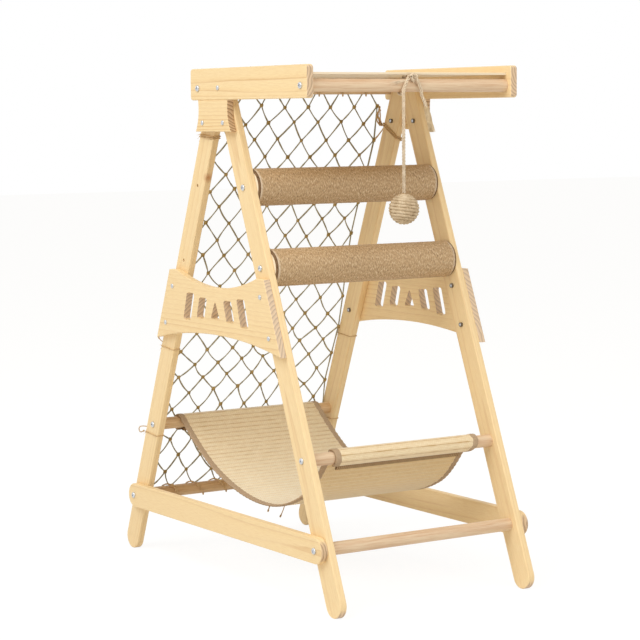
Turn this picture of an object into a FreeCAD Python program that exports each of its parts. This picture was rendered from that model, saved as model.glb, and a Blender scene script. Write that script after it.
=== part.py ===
"""Pet climbing frame: two A-shaped side frames of flat boards, tied by round dowels.

Lengths are in millimetres. X runs from the left side frame to the right one, Y rearwards
and Z up. The origin is on the floor, in the middle of the four feet.
"""
import FreeCAD, Part
import math
import os

Vector = FreeCAD.Vector
X_AXIS = Vector(1, 0, 0)

# Boards of the side frames
inner_width = 425.0          # clear width between the legs of the two side frames
board_thickness = 15.0       # legs
plate_thickness = 15.0       # beams, plates and rails on the outer faces of the legs
edge_round = 2.0             # eased edges of every board
leg_width = 50.0
leg_lean = 21.9              # degrees from upright
apex_drop = 7.0              # meeting point of the legs' middle lines, below the top of the beams
foot_flat_depth = 0.5        # sanded flat under each rounded foot

beam_rise = 170.0            # lower edge of the beams above the axis of the upper post
beam_height = 62.0
beam_front = 347.0           # reach of the beam in front of the apex
beam_rear = 87.0             # reach of the beam behind the apex
beam_corner = 7.0

shelf_thickness = 4.0
shelf_drop = 14.0            # top of the shelf below the top of the beams
shelf_groove_depth = 6.0
shelf_setback = 16.0         # ends of the shelf behind the ends of the beams
shelf_clearance = 0.2

apex_plate_height = 62.0
apex_plate_foot = 69.0       # half width along its lower edge
apex_plate_waist = 57.0
apex_plate_head = 58.5
apex_waist_rise = 38.5       # narrowest place above its lower edge
apex_screw_rise = 17.5       # screws above its lower edge

side_plate_rise = 191.0      # its lower corners above the axis of the hammock dowels
side_plate_height = 145.0
side_plate_top_arch = 27.0   # how far the upper edge dips in the middle
side_plate_bottom_arch = 24.0
side_plate_shoulder = 31.0   # flat length at each end of the upper edge
side_screw_margin = 34.0     # screws from the upper and lower corners
slot_width = 31.0
slot_round = 6.0
outer_slot_top_place = 98.0
outer_slot_height = 56.0
inner_slot_top_place = 47.0
inner_slot_height = 43.0
slot_splay = 0.3             # sideways run of a slot for each millimetre of its height
middle_slot_height = 36.0
middle_slot_base = 36.0
middle_slot_round = 2.5
slot_lift = 3.0              # middle of the slots above the middle of the plate's waist

rail_height = 50.0
rail_axis_height = 122.0

# Dowels and their bolts
dowel_diameter = 25.0
hammock_dowel_height = 281.0
top_dowel_drop = 38.5        # axis of the two top dowels below the top of the beams
front_dowel_inset = 21.5     # axis behind the front end of the beam
rear_dowel_inset = 30.0      # axis in front of the rear end of the beam
bolt_diameter = 6.0
bolt_hole = 6.6
bolt_grip = 25.0             # length of bolt inside a dowel or post
bolt_head_diameter = 12.5
bolt_head_height = 3.4
head_dome = 0.6              # rounded share of a bolt head's height
bolt_socket_diameter = 4.6
bolt_socket_depth = 2.0
bolt_bore_spare = 4.0        # bore in the wood beyond the end of the bolt
insert_diameter = 9.5
insert_length = 14.0
insert_bore = 6.3
insert_clearance = 0.05

plate_bolt_diameter = 5.0
plate_bolt_hole = 5.4
plate_bolt_head_diameter = 9.5
plate_bolt_head_height = 2.4
plate_bolt_slot_width = 1.4
plate_bolt_slot_depth = 1.2
plate_nut_diameter = 9.0
plate_nut_height = 4.0
beam_screw_place = 22.5      # in front of the apex
beam_screw_length = 26.0

# Scratching posts
post_tube_diameter = 70.0
post_tube_wall = 3.5
post_cover_thickness = 1.6
post_cover_clearance = 0.1
post_rim = 4.0               # bare tube at each end of the cover
post_plug_length = 18.0
post_plug_clearance = 0.1
lower_post_rise = 19.5       # axis of the lower post above the corners of the side plates
post_spacing = 153.5         # height between the axes of the two posts

# Hammock
mat_width = 352.0
mat_thickness = 4.0
binding_width = 13.0
hem_width = 8.0
binding_thickness = 5.0
mat_dowel_clearance = 0.3
mat_rear_slope = 40.0        # degrees, where the mat leaves the rear dowel
mat_front_slope = 55.0       # degrees, where the mat meets the front dowel
mat_rear_run = 115.0         # straight mat from the rear dowel down to the first bend
mat_front_run = 95.0
mat_tuck = 6.0               # the mat goes round each dowel and ends this far inside its axis
mat_tuck_ease = 0.5          # straight mat between the two arcs round a dowel
mat_sag_points = [(70.0, 168.0), (-45.0, 151.0), (-140.0, 166.0)]

# Net
net_cord = 4.0
net_clearance = 0.4
net_side_gap = 7.5           # clear gap between the net and the legs
net_columns = 7
net_half_rows = 25           # half meshes between the two dowels that carry the net
lashing_turns = 6
lashing_clearance = 0.8
tie_turns = 2
tie_pitch = 4.8
tie_clearance = 0.3
tie_corner = 1.1             # radius of a tie's corners, in cord diameters
top_tie_gap = 18.0           # below the apex plate
middle_tie_gap = 22.0        # below the side plate
low_tie_drop = 21.0          # below the axis of the hammock dowels

# Hanging toy
toy_cord_diameter = 7.0
toy_place = -24.0            # along the front top dowel
toy_pivot_drop = 15.0        # where the cords bend, below the axis of the dowel
toy_drop = 218.0             # middle of the ball below that bend
ball_diameter = 60.0
ball_rope = 4.6
ball_turns = 13
ball_pole_angle = 21.0       # degrees of bare ball round each pole
ball_core_clearance = 0.3
loop_clearance = 0.6
loop_pitch = 12.0            # sideways step of the loop in its one turn
knot_diameter = 16.0
tail_place = 17.0
tail_knee = (7.0, -14.0)     # where the tail turns: along the dowel and above its bend
tail_run = 12.5              # length of tail cord beyond that turn
tassel_diameter = 12.0
tassel_length = 50.0
tail_lean = 17.0             # degrees from hanging straight, at the end of the tail
cord_gap = 0.3
winding_share = 0.49         # of each side of a square helix, used by its corner arcs

# Worked out sizes
lean = math.radians(leg_lean)
half_inner = inner_width / 2
leg_outer = half_inner + board_thickness
plate_outer = leg_outer + plate_thickness
side_plate_bottom = hammock_dowel_height + side_plate_rise
side_plate_top = side_plate_bottom + side_plate_height
lower_post_height = side_plate_top + lower_post_rise
upper_post_height = lower_post_height + post_spacing
beam_bottom = upper_post_height + beam_rise
beam_top = beam_bottom + beam_height
apex_height = beam_top - apex_drop
shelf_bottom = beam_top - shelf_drop - shelf_thickness
apex_plate_bottom = beam_bottom - apex_plate_height
mesh_width = (inner_width - 2 * net_side_gap - net_cord) / net_columns
tie_heights = [apex_plate_bottom - top_tie_gap,
               side_plate_bottom - middle_tie_gap,
               hammock_dowel_height - low_tie_drop]
dowel_radius = dowel_diameter / 2
top_dowel_height = beam_top - top_dowel_drop
front_dowel_y = front_dowel_inset - beam_front
rear_dowel_y = beam_rear - rear_dowel_inset


def leg_middle(height):
    """Distance of a leg's middle line from the apex, at a height."""
    return (apex_height - height) * math.tan(lean)


def leg_edge(height, side):
    """Distance of a leg's outer (+1) or inner (-1) edge from the apex, at a height."""
    return leg_middle(height) + side * leg_width / 2 / math.cos(lean)


def at(x, y, z):
    return Vector(x, y, z)


def line(start, end):
    return Part.LineSegment(start, end).toShape()


def arc(start, middle, end):
    return Part.Arc(start, middle, end).toShape()


def rod(x, y, z, length, diameter):
    """A cylinder along X from x to x + length."""
    return Part.makeCylinder(diameter / 2, length, at(x, y, z), X_AXIS)


def mirrored(shape):
    """The same piece on the right-hand side frame."""
    return shape.mirror(Vector(0, 0, 0), X_AXIS)


def save(name, shapes):
    """Writes one node, which may be a group of separate solids."""
    shape = shapes if isinstance(shapes, Part.Shape) else Part.makeCompound(shapes)
    shape.exportStep(os.path.join("parts", name + ".step"))
    solids = shape.Solids
    volume = sum(solid.Volume for solid in solids)
    print(f"{name}: {len(solids)} solid(s), {volume / 1000:.1f} cm3, valid {shape.isValid()}")


def board(edges, x, thickness):
    """A board from a closed outline at x, with its two faces' edges eased."""
    solid = Part.Face(Part.Wire(edges)).extrude(Vector(thickness, 0, 0))
    rims = []
    for edge in solid.Edges:
        box = edge.BoundBox
        if box.XLength < thickness / 2:
            rims.append(edge)
    return solid.makeFillet(edge_round, rims)


def rounded_polygon(corners, radius, x):
    """Edges of a polygon in a plane of constant x, its corners rounded."""
    points = [at(x, y, z) for y, z in corners]
    edges = []
    starts = []
    ends = []
    for index, corner in enumerate(points):
        back = (points[index - 1] - corner).normalize()
        on = (points[(index + 1) % len(points)] - corner).normalize()
        reach = radius / math.tan(back.getAngle(on) / 2)
        middle = (back + on).normalize()
        depth = radius / math.sin(back.getAngle(on) / 2) - radius
        starts.append(corner + back * reach)
        ends.append(corner + on * reach)
        edges.append(arc(starts[-1], corner + middle * depth, ends[-1]))
    outline = []
    for index, edge in enumerate(edges):
        outline.append(edge)
        outline.append(line(ends[index], starts[(index + 1) % len(points)]))
    return outline


def route(points, radii):
    """A smooth path: straight runs joined by tangent arcs of the given radii."""
    edges = []
    start = points[0]
    for corner, following, radius in zip(points[1:-1], points[2:], radii):
        back = (start - corner).normalize()
        on = (following - corner).normalize()
        half = back.getAngle(on) / 2
        reach = radius / math.tan(half)
        middle = (back + on).normalize()
        first = corner + back * reach
        last = corner + on * reach
        edges.append(line(start, first))
        edges.append(arc(first, corner + middle * (radius / math.sin(half) - radius), last))
        start = last
    edges.append(line(start, points[-1]))
    return Part.Wire(edges)


def widest_radii(points, share=0.45):
    """For each inner point, the arc that uses this share of the shorter run beside it."""
    radii = []
    for before, corner, following in zip(points, points[1:], points[2:]):
        back = before - corner
        on = following - corner
        turn = math.pi - back.getAngle(on)
        radii.append(share * min(back.Length, on.Length) / math.tan(turn / 2))
    return radii


def winding_path(corners):
    """A path through the corners of a square helix, from the middle of its first side to the last."""
    radii = widest_radii(corners, winding_share)
    first = (corners[0] + corners[1]) * 0.5
    last = (corners[-2] + corners[-1]) * 0.5
    return route([first] + corners[1:-1] + [last], radii)


def tube(path, diameter, name):
    """A round cord along a path. Its volume is compared with section times length."""
    first = path.OrderedEdges[0]
    ring = Part.makeCircle(diameter / 2, first.valueAt(first.FirstParameter),
                           first.tangentAt(first.FirstParameter))
    solid = path.makePipeShell([Part.Wire(ring)], True, False)
    ratio = solid.Volume / (math.pi / 4 * diameter ** 2 * path.Length)
    print(f"{name}: path {path.Length:.1f} mm, volume ratio {ratio:.3f}")
    return solid


def least_self_gap(path, diameter, turn_length, name):
    """Prints the least gap between a winding and itself, measured on points along it."""
    count = max(int(path.Length / diameter * 2), 8)
    points = path.discretize(Number=count)
    step = path.Length / (count - 1)
    skip = int(0.5 * turn_length / step) + 1
    least = min(points[i].distanceToPoint(points[j])
                for i in range(count) for j in range(i + skip, count))
    print(f"{name}: least gap to itself {least - diameter:.2f} mm")


# Side frames

def leg_holes(side):
    """Bores through one leg: dowel bolts, post bolts and plate bolts."""
    bores = []
    for height in (rail_axis_height, hammock_dowel_height, lower_post_height, upper_post_height):
        bores.append(rod(-leg_outer, side * leg_middle(height), height, board_thickness, bolt_hole))
    for height in plate_bolt_heights():
        bores.append(rod(-leg_outer, side * leg_middle(height), height, board_thickness, plate_bolt_hole))
    return bores


def plate_bolt_heights():
    """Heights of the bolts that hold the apex plate and the side plate to a leg."""
    return (apex_plate_bottom + apex_screw_rise,
            side_plate_top - side_screw_margin,
            side_plate_bottom + side_screw_margin)


def leg(side):
    """A left-hand leg: -1 is the front one, +1 the rear one, mitred against each other."""
    foot_radius = leg_width / 2
    foot_height = foot_radius - foot_flat_depth
    foot = at(-leg_outer, side * leg_middle(foot_height), foot_height)
    upwards = at(0, -side * math.sin(lean), math.cos(lean))
    outwards = at(0, side * math.cos(lean), math.sin(lean))
    outer_foot = foot + outwards * foot_radius
    inner_foot = foot - outwards * foot_radius
    mitre_height = apex_height - leg_width / 2 / math.sin(lean)
    outer_head = at(-leg_outer, side * leg_edge(shelf_bottom, 1), shelf_bottom)
    head = at(-leg_outer, 0, shelf_bottom)
    mitre = at(-leg_outer, 0, mitre_height)
    outline = [
        arc(inner_foot, foot - upwards * foot_radius, outer_foot),
        line(outer_foot, outer_head),
        line(outer_head, head),
        line(head, mitre),
        line(mitre, inner_foot),
    ]
    solid = board(outline, -leg_outer, board_thickness).cut(leg_holes(side) + beam_screw_bores())
    below_floor = Part.makeBox(board_thickness, 2 * leg_width, foot_radius,
                               at(-leg_outer, foot.y - leg_width, -foot_radius))
    return solid.cut(below_floor)


def beam_screw_bores():
    """Bore of the screw that holds the beam to the top of the front leg."""
    depth = beam_screw_length + insert_clearance
    return [rod(-plate_outer, -beam_screw_place, top_dowel_height, depth, plate_bolt_hole)]


def top_beam():
    corners = [(-beam_front, beam_bottom), (beam_rear, beam_bottom),
               (beam_rear, beam_top), (-beam_front, beam_top)]
    outline = rounded_polygon(corners, beam_corner, -plate_outer)
    solid = board(outline, -plate_outer, plate_thickness)
    groove_start = -beam_front + shelf_setback - shelf_clearance
    groove_end = beam_rear - shelf_setback + shelf_clearance
    groove = Part.makeBox(shelf_groove_depth, groove_end - groove_start, shelf_thickness + shelf_clearance,
                          at(-leg_outer - shelf_groove_depth, groove_start, shelf_bottom))
    cuts = [groove] + beam_screw_bores()
    for y in (front_dowel_y, rear_dowel_y):
        cuts.append(rod(-plate_outer, y, top_dowel_height, plate_thickness, bolt_hole))
    return solid.cut(cuts)


def apex_plate():
    waist_height = apex_plate_bottom + apex_waist_rise
    feet = [at(-plate_outer, side * apex_plate_foot, apex_plate_bottom) for side in (-1, 1)]
    waists = [at(-plate_outer, side * apex_plate_waist, waist_height) for side in (-1, 1)]
    heads = [at(-plate_outer, side * apex_plate_head, beam_bottom) for side in (-1, 1)]
    outline = [
        arc(feet[0], waists[0], heads[0]),
        line(heads[0], heads[1]),
        arc(heads[1], waists[1], feet[1]),
        line(feet[1], feet[0]),
    ]
    solid = board(outline, -plate_outer, plate_thickness)
    height = apex_plate_bottom + apex_screw_rise
    return solid.cut([rod(-plate_outer, side * leg_middle(height), height, plate_thickness, plate_bolt_hole)
                      for side in (-1, 1)])


def fan_slots():
    """Cutters for the five slots of a side plate, which spread like a fan."""
    waist_top = side_plate_top - side_plate_top_arch
    waist_bottom = side_plate_bottom + side_plate_bottom_arch
    middle = (waist_top + waist_bottom) / 2 + slot_lift
    half = slot_width / 2
    outlines = []
    for side in (-1, 1):
        for place, height in ((outer_slot_top_place, outer_slot_height),
                              (inner_slot_top_place, inner_slot_height)):
            top = middle + height / 2
            bottom = middle - height / 2
            foot = place + slot_splay * height
            corners = [(side * (place - half), top), (side * (place + half), top),
                       (side * (foot + half), bottom), (side * (foot - half), bottom)]
            outlines.append(rounded_polygon(corners, slot_round, -plate_outer))
    top = middle + middle_slot_height / 2
    bottom = middle - middle_slot_height / 2
    corners = [(0, top), (middle_slot_base / 2, bottom), (-middle_slot_base / 2, bottom)]
    outlines.append(rounded_polygon(corners, middle_slot_round, -plate_outer))
    return [Part.Face(Part.Wire(outline)).extrude(Vector(plate_thickness, 0, 0)) for outline in outlines]


def side_plate():
    top_end = leg_edge(side_plate_top, 1)
    bottom_end = leg_edge(side_plate_bottom, 1)
    shoulder = top_end - side_plate_shoulder
    spot = lambda y, z: at(-plate_outer, y, z)
    dip = spot(0, side_plate_top - side_plate_top_arch)
    rise = spot(0, side_plate_bottom + side_plate_bottom_arch)
    outline = [
        line(spot(-bottom_end, side_plate_bottom), spot(-top_end, side_plate_top)),
        line(spot(-top_end, side_plate_top), spot(-shoulder, side_plate_top)),
        arc(spot(-shoulder, side_plate_top), dip, spot(shoulder, side_plate_top)),
        line(spot(shoulder, side_plate_top), spot(top_end, side_plate_top)),
        line(spot(top_end, side_plate_top), spot(bottom_end, side_plate_bottom)),
        arc(spot(bottom_end, side_plate_bottom), rise, spot(-bottom_end, side_plate_bottom)),
    ]
    solid = board(outline, -plate_outer, plate_thickness)
    cuts = fan_slots()
    for height in plate_bolt_heights()[1:]:
        for side in (-1, 1):
            y = side * leg_middle(height)
            cuts.append(rod(-plate_outer, y, height, plate_thickness, plate_bolt_hole))
    return solid.cut(cuts)


def base_rail():
    reach = leg_middle(rail_axis_height)
    half = rail_height / 2
    top = rail_axis_height + half
    bottom = rail_axis_height - half
    spot = lambda y, z: at(-plate_outer, y, z)
    outline = [
        line(spot(-reach, bottom), spot(reach, bottom)),
        arc(spot(reach, bottom), spot(reach + half, rail_axis_height), spot(reach, top)),
        line(spot(reach, top), spot(-reach, top)),
        arc(spot(-reach, top), spot(-reach - half, rail_axis_height), spot(-reach, bottom)),
    ]
    solid = board(outline, -plate_outer, plate_thickness)
    return solid.cut([rod(-plate_outer, side * reach, rail_axis_height, plate_thickness, bolt_hole)
                      for side in (-1, 1)])


def top_shelf():
    reach = leg_outer + shelf_groove_depth - shelf_clearance
    length = beam_front + beam_rear - 2 * shelf_setback
    corner = at(-reach, shelf_setback - beam_front, shelf_bottom)
    return Part.makeBox(2 * reach, length, shelf_thickness, corner)


# Dowels, posts and fasteners

def cross_members():
    """Name, place and half length of each dowel, with the boards that its bolts pass."""
    rail_y = leg_middle(rail_axis_height)
    hammock_y = leg_middle(hammock_dowel_height)
    return {
        "front_top_dowel": (front_dowel_y, top_dowel_height, leg_outer, plate_outer),
        "rear_top_dowel": (rear_dowel_y, top_dowel_height, leg_outer, plate_outer),
        "front_hammock_dowel": (-hammock_y, hammock_dowel_height, half_inner, leg_outer),
        "rear_hammock_dowel": (hammock_y, hammock_dowel_height, half_inner, leg_outer),
        "front_base_dowel": (-rail_y, rail_axis_height, half_inner, plate_outer),
        "rear_base_dowel": (rail_y, rail_axis_height, half_inner, plate_outer),
    }


def posts():
    """Name and place of each scratching post."""
    return {
        "upper_post": (-leg_middle(upper_post_height), upper_post_height),
        "lower_post": (-leg_middle(lower_post_height), lower_post_height),
    }


def end_bores(y, z, half_length):
    """Bores for a threaded insert and its bolt in both ends of a cross member."""
    bores = []
    for side in (-1, 1):
        for depth, diameter in ((insert_length, insert_diameter + 2 * insert_clearance),
                                (bolt_grip + bolt_bore_spare, bolt_hole)):
            start = -half_length if side < 0 else half_length - depth
            bores.append(rod(start, y, z, depth, diameter))
    return bores


def dowel(y, z, half_length):
    return rod(-half_length, y, z, 2 * half_length, dowel_diameter).cut(end_bores(y, z, half_length))


def inserts(y, z, half_length):
    """A threaded sleeve in each end of a cross member."""
    sleeves = []
    for start in (-half_length, half_length - insert_length):
        bore = rod(start, y, z, insert_length, insert_bore)
        sleeves.append(rod(start, y, z, insert_length, insert_diameter).cut(bore))
    return sleeves


def domed_head(y, z, seat, diameter, height):
    """A low round head with a domed rim, on the outer board face at seat."""
    head = rod(-seat - height, y, z, height, diameter)
    rim = [edge for edge in head.Edges if edge.BoundBox.XMax < -seat - height / 2 and edge.Closed]
    return head.makeFillet(height * head_dome, rim)


def bolt_pair(y, z, half_length, seat):
    """A bolt from each side, its head on the outer board face at seat."""
    shank = rod(-seat, y, z, seat - half_length + bolt_grip, bolt_diameter)
    head = domed_head(y, z, seat, bolt_head_diameter, bolt_head_height)
    socket = rod(-seat - bolt_head_height, y, z, bolt_socket_depth, bolt_socket_diameter)
    bolt = head.fuse(shank).removeSplitter().cut(socket)
    return [bolt, mirrored(bolt)]


def plate_bolts():
    """Bolts through the plates and the legs: heads outside, nuts on the inner faces."""
    bolts = []
    nuts = []
    seat = plate_outer
    for height in plate_bolt_heights():
        for side in (-1, 1):
            y = side * leg_middle(height)
            head = slotted_head(y, height, seat)
            shank = rod(-seat, y, height, seat - half_inner + plate_nut_height, plate_bolt_diameter)
            bolts.append(head.fuse(shank).removeSplitter())
            nut = rod(-half_inner, y, height, plate_nut_height, plate_nut_diameter)
            nuts.append(nut.cut(rod(-half_inner, y, height, plate_nut_height, plate_bolt_hole)))
    bolts += [mirrored(bolt) for bolt in bolts]
    nuts += [mirrored(nut) for nut in nuts]
    return bolts, nuts


def slotted_head(y, z, seat):
    """A low domed head with a driver slot, on the outer board face at seat."""
    head = domed_head(y, z, seat, plate_bolt_head_diameter, plate_bolt_head_height)
    corner = at(-seat - plate_bolt_head_height,
                y - plate_bolt_head_diameter / 2,
                z - plate_bolt_slot_width / 2)
    slot = Part.makeBox(plate_bolt_slot_depth, plate_bolt_head_diameter, plate_bolt_slot_width, corner)
    return head.cut(slot)


def beam_screws():
    """A screw through each beam into the top of the front leg."""
    head = slotted_head(-beam_screw_place, top_dowel_height, plate_outer)
    shank = rod(-plate_outer, -beam_screw_place, top_dowel_height, beam_screw_length, plate_bolt_diameter)
    screw = head.fuse(shank).removeSplitter()
    return [screw, mirrored(screw)]


def post_tube(y, z):
    bore = rod(-half_inner, y, z, inner_width, post_tube_diameter - 2 * post_tube_wall)
    return rod(-half_inner, y, z, inner_width, post_tube_diameter).cut(bore)


def post_cover(y, z):
    bore = post_tube_diameter + 2 * post_cover_clearance
    length = inner_width - 2 * post_rim
    start = post_rim - half_inner
    return rod(start, y, z, length, bore + 2 * post_cover_thickness).cut(rod(start, y, z, length, bore))


def post_plugs(y, z):
    diameter = post_tube_diameter - 2 * post_tube_wall - 2 * post_plug_clearance
    bores = end_bores(y, z, half_inner)
    return [rod(start, y, z, post_plug_length, diameter).cut(bores)
            for start in (-half_inner, half_inner - post_plug_length)]


# Hammock

def wrap_radius():
    """From a hammock dowel's axis to the middle of the mat that lies on it."""
    return dowel_radius + mat_dowel_clearance + binding_thickness / 2


def mat_path():
    """The mat's middle line seen from the side, from its rear end to its front end."""
    radius = wrap_radius()
    dowel_y = leg_middle(hammock_dowel_height)
    under = hammock_dowel_height - radius
    corners = []
    bends = []
    for side, slope, run in ((1, mat_rear_slope, mat_rear_run), (-1, mat_front_slope, mat_front_run)):
        tilt = math.radians(slope)
        leaves = at(0, side * (dowel_y - radius * math.sin(tilt)),
                    hammock_dowel_height + radius * math.cos(tilt))
        inwards = at(0, -side * math.cos(tilt), -math.sin(tilt))
        outside = side * (dowel_y + radius)
        top = leaves - inwards * ((outside - leaves.y) / (side * math.cos(tilt)))
        corners.append(at(0, outside, top.z))
        bends.append(leaves + inwards * run)
    rear = [at(0, dowel_y - mat_tuck, under), at(0, dowel_y + radius, under), corners[0]]
    front = [corners[1], at(0, -dowel_y - radius, under), at(0, mat_tuck - dowel_y, under)]
    sag = [at(0, y, z) for y, z in mat_sag_points]
    points = rear + [bends[0]] + sag + [bends[1]] + front
    radii = widest_radii(points)
    radii[:2] = [radius - mat_tuck_ease, radius]
    radii[-2:] = [radius, radius - mat_tuck_ease]
    print("hammock radii:", " ".join(f"{r:.0f}" for r in radii))
    return route(points, radii)


def strip(path, x, width, thickness):
    """A flat strip from x to x + width along the mat's path."""
    start = path.OrderedEdges[0].valueAt(path.OrderedEdges[0].FirstParameter)
    half = thickness / 2
    corners = [(x, -half), (x + width, -half), (x + width, half), (x, half), (x, -half)]
    section = Part.makePolygon([at(a, start.y, start.z + b) for a, b in corners])
    return path.makePipeShell([section], True, False)


def hammock():
    """The mat, its two side bindings and its two end hems."""
    path = mat_path()
    inner = mat_width - 2 * binding_width
    save("hammock_mat", strip(path, -inner / 2, inner, mat_thickness))
    left = strip(path, -mat_width / 2, binding_width, binding_thickness)
    save("hammock_left_binding", left)
    save("hammock_right_binding", mirrored(left))
    end = path.OrderedEdges[0].valueAt(path.OrderedEdges[0].FirstParameter)
    hems = []
    for side in (-1, 1):
        nearest = min(side * end.y, side * end.y - side * hem_width)
        corner = at(-mat_width / 2, nearest, end.z - binding_thickness / 2)
        hems.append(Part.makeBox(mat_width, hem_width, binding_thickness, corner))
    save("hammock_end_hems", hems)
    print(f"hammock mat flat length {path.Length + 2 * hem_width:.0f} mm")


# Net

def net_frame():
    """Top point, downward direction, rearward normal and length of the net's plane."""
    top = at(0, rear_dowel_y, top_dowel_height)
    bottom = at(0, leg_middle(rail_axis_height), rail_axis_height)
    down = (bottom - top).normalize()
    normal = X_AXIS.cross(down)
    offset = dowel_radius + lashing_clearance + net_cord + net_clearance
    return top + normal * offset, down, normal, (bottom - top).Length


def inset(corners, distance):
    """A triangle or diamond whose sides have moved inwards by a distance."""
    sides = list(zip(corners, corners[1:] + corners[:1]))
    lengths = [math.dist(a, b) for a, b in sides]
    area = abs(sum(a[0] * b[1] - b[0] * a[1] for a, b in sides)) / 2
    inradius = 2 * area / sum(lengths)
    if len(corners) == 3:
        weights = [lengths[1], lengths[2], lengths[0]]
    else:
        weights = [1] * len(corners)
    total = sum(weights)
    cx = sum(w * c[0] for w, c in zip(weights, corners)) / total
    cy = sum(w * c[1] for w, c in zip(weights, corners)) / total
    share = 1 - distance / inradius
    return [(cx + (x - cx) * share, cy + (y - cy) * share) for x, y in corners]


def mesh_gaps(length):
    """Corners of every gap: diamonds, and the halves and quarters along the borders."""
    a = mesh_width / 2
    b = length / net_half_rows
    half_width = net_columns * a
    gaps = []
    for row in range(net_half_rows + 1):
        for column in range(row % 2, 2 * net_columns + 1, 2):
            x = column * a - half_width
            s = row * b
            corners = [(x - a, s), (x, s - b), (x + a, s), (x, s + b)]
            inside = [(p, q) for p, q in corners
                      if abs(p) < half_width + a / 2 and -b / 2 < q < length + b / 2]
            if len(inside) == 2:
                inside.append((x, s))
            gaps.append(inside)
    return gaps


def net():
    """One flat face with a hole for each gap, as thick as its cord."""
    top, down, normal, length = net_frame()
    spot = lambda x, s: top + X_AXIS * x + down * s
    half_cord = net_cord / 2
    half_width = net_columns * mesh_width / 2 + half_cord
    end = length + half_cord
    border = [(-half_width, -half_cord), (half_width, -half_cord), (half_width, end), (-half_width, end)]
    ring = lambda corners: Part.makePolygon([spot(x, s) for x, s in corners + corners[:1]])
    gaps = mesh_gaps(length)
    holes = [ring(inset(corners, half_cord)) for corners in gaps]
    face = Part.makeFace([ring(border)] + holes, "Part::FaceMakerBullseye")
    print(f"net: {len(gaps)} gaps")
    return face.extrude(normal * net_cord)


def square_helix(centre, radius, turns, pitch, start_angle):
    """Corners of a square helix along X, whose sides touch a cylinder of the given radius."""
    points = []
    reach = radius * math.sqrt(2)
    for quarter in range(int(4 * turns) + 1):
        angle = start_angle + quarter * math.pi / 2
        points.append(centre + at(quarter * pitch / 4, reach * math.cos(angle), reach * math.sin(angle)))
    return points


def lashing(y, z, name):
    """The cord that binds an end of the net to a dowel, one turn for each mesh."""
    radius = dowel_radius + lashing_clearance + net_cord / 2
    length = lashing_turns * mesh_width
    points = square_helix(at(-length / 2, y, z), radius, lashing_turns, mesh_width, math.pi / 4)
    path = winding_path(points)
    least_self_gap(path, net_cord, path.Length / lashing_turns, name)
    return tube(path, net_cord, name)


def leg_tie(height):
    """A few turns of cord round the left rear leg."""
    along = at(0, -math.sin(lean), math.cos(lean))
    across = at(0, math.cos(lean), math.sin(lean))
    middle = at(-half_inner - board_thickness / 2, leg_middle(height), height)
    off = net_cord / 2 + tie_clearance
    half_x = board_thickness / 2 + off
    half_y = leg_width / 2 + off
    corners = [(1, 1), (-1, 1), (-1, -1), (1, -1)]
    points = []
    for quarter in range(4 * tie_turns + 1):
        sx, sy = corners[quarter % 4]
        rise = (quarter / 4 - tie_turns / 2) * tie_pitch
        points.append(middle + X_AXIS * (sx * half_x) + across * (sy * half_y) + along * rise)
    path = route(points, [net_cord * tie_corner] * (len(points) - 2))
    least_self_gap(path, net_cord, path.Length / tie_turns, "leg tie")
    return tube(path, net_cord, "leg tie")


# Hanging toy

def toy_axis():
    """The line along X where the hanging cords bend, in front of and below the dowel."""
    front = front_dowel_y - dowel_radius - loop_clearance - toy_cord_diameter / 2
    return front, top_dowel_height - toy_pivot_drop


def toy_loop():
    """The loop round the front top dowel and the short drop of the ball's cord."""
    radius = dowel_radius + loop_clearance + toy_cord_diameter / 2
    front, bend = toy_axis()
    centre = at(toy_place, front_dowel_y, top_dowel_height)
    drop_end = bend + toy_cord_diameter / 2 + cord_gap
    corners = [(-1, 1), (1, 1), (1, -1), (-1, -1)]
    points = [at(toy_place, front, drop_end)]
    for quarter, (sy, sz) in enumerate(corners):
        points.append(centre + at(quarter * loop_pitch / len(corners), sy * radius, sz * radius))
    points.append(centre + at(loop_pitch, -radius, 0))
    radii = [radius * 2 * winding_share] * (len(points) - 2)
    return tube(route(points, radii), toy_cord_diameter, "toy_loop")


def toy_knot():
    """The knot on top of the dowel, beside the loop, and the short drop of the tail."""
    radius = knot_diameter / 2
    off = (dowel_radius + loop_clearance + radius) / math.sqrt(2)
    place = toy_place + loop_pitch + toy_cord_diameter / 2 + cord_gap + radius
    middle = at(place, front_dowel_y - off, top_dowel_height + off)
    front, bend = toy_axis()
    drop_end = at(tail_place, front, bend + toy_cord_diameter / 2 + cord_gap)
    elbow = at(tail_place, front, (middle.z + drop_end.z) / 2)
    points = [middle, elbow, drop_end]
    lead = tube(route(points, widest_radii(points)), toy_cord_diameter, "toy_knot")
    return Part.makeSphere(radius, middle, elbow - middle).fuse(lead).removeSplitter()


def hanging_cord(points, name):
    """A swinging cord whose upper end is round about the bend."""
    radii = widest_radii(points)
    print(f"{name} radii:", " ".join(f"{r:.0f}" for r in radii))
    body = tube(route(points, radii), toy_cord_diameter, name)
    return body.fuse(Part.makeSphere(toy_cord_diameter / 2, points[0])).removeSplitter()


def ball_centre():
    front, bend = toy_axis()
    return at(toy_place, front, bend - toy_drop)


def toy_cord():
    front, bend = toy_axis()
    length = toy_drop - ball_diameter / 2 - cord_gap
    start = at(toy_place, front, bend)
    rope = Part.makeCylinder(toy_cord_diameter / 2, length, start, Vector(0, 0, -1))
    return rope.fuse(Part.makeSphere(toy_cord_diameter / 2, start)).removeSplitter()


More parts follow.
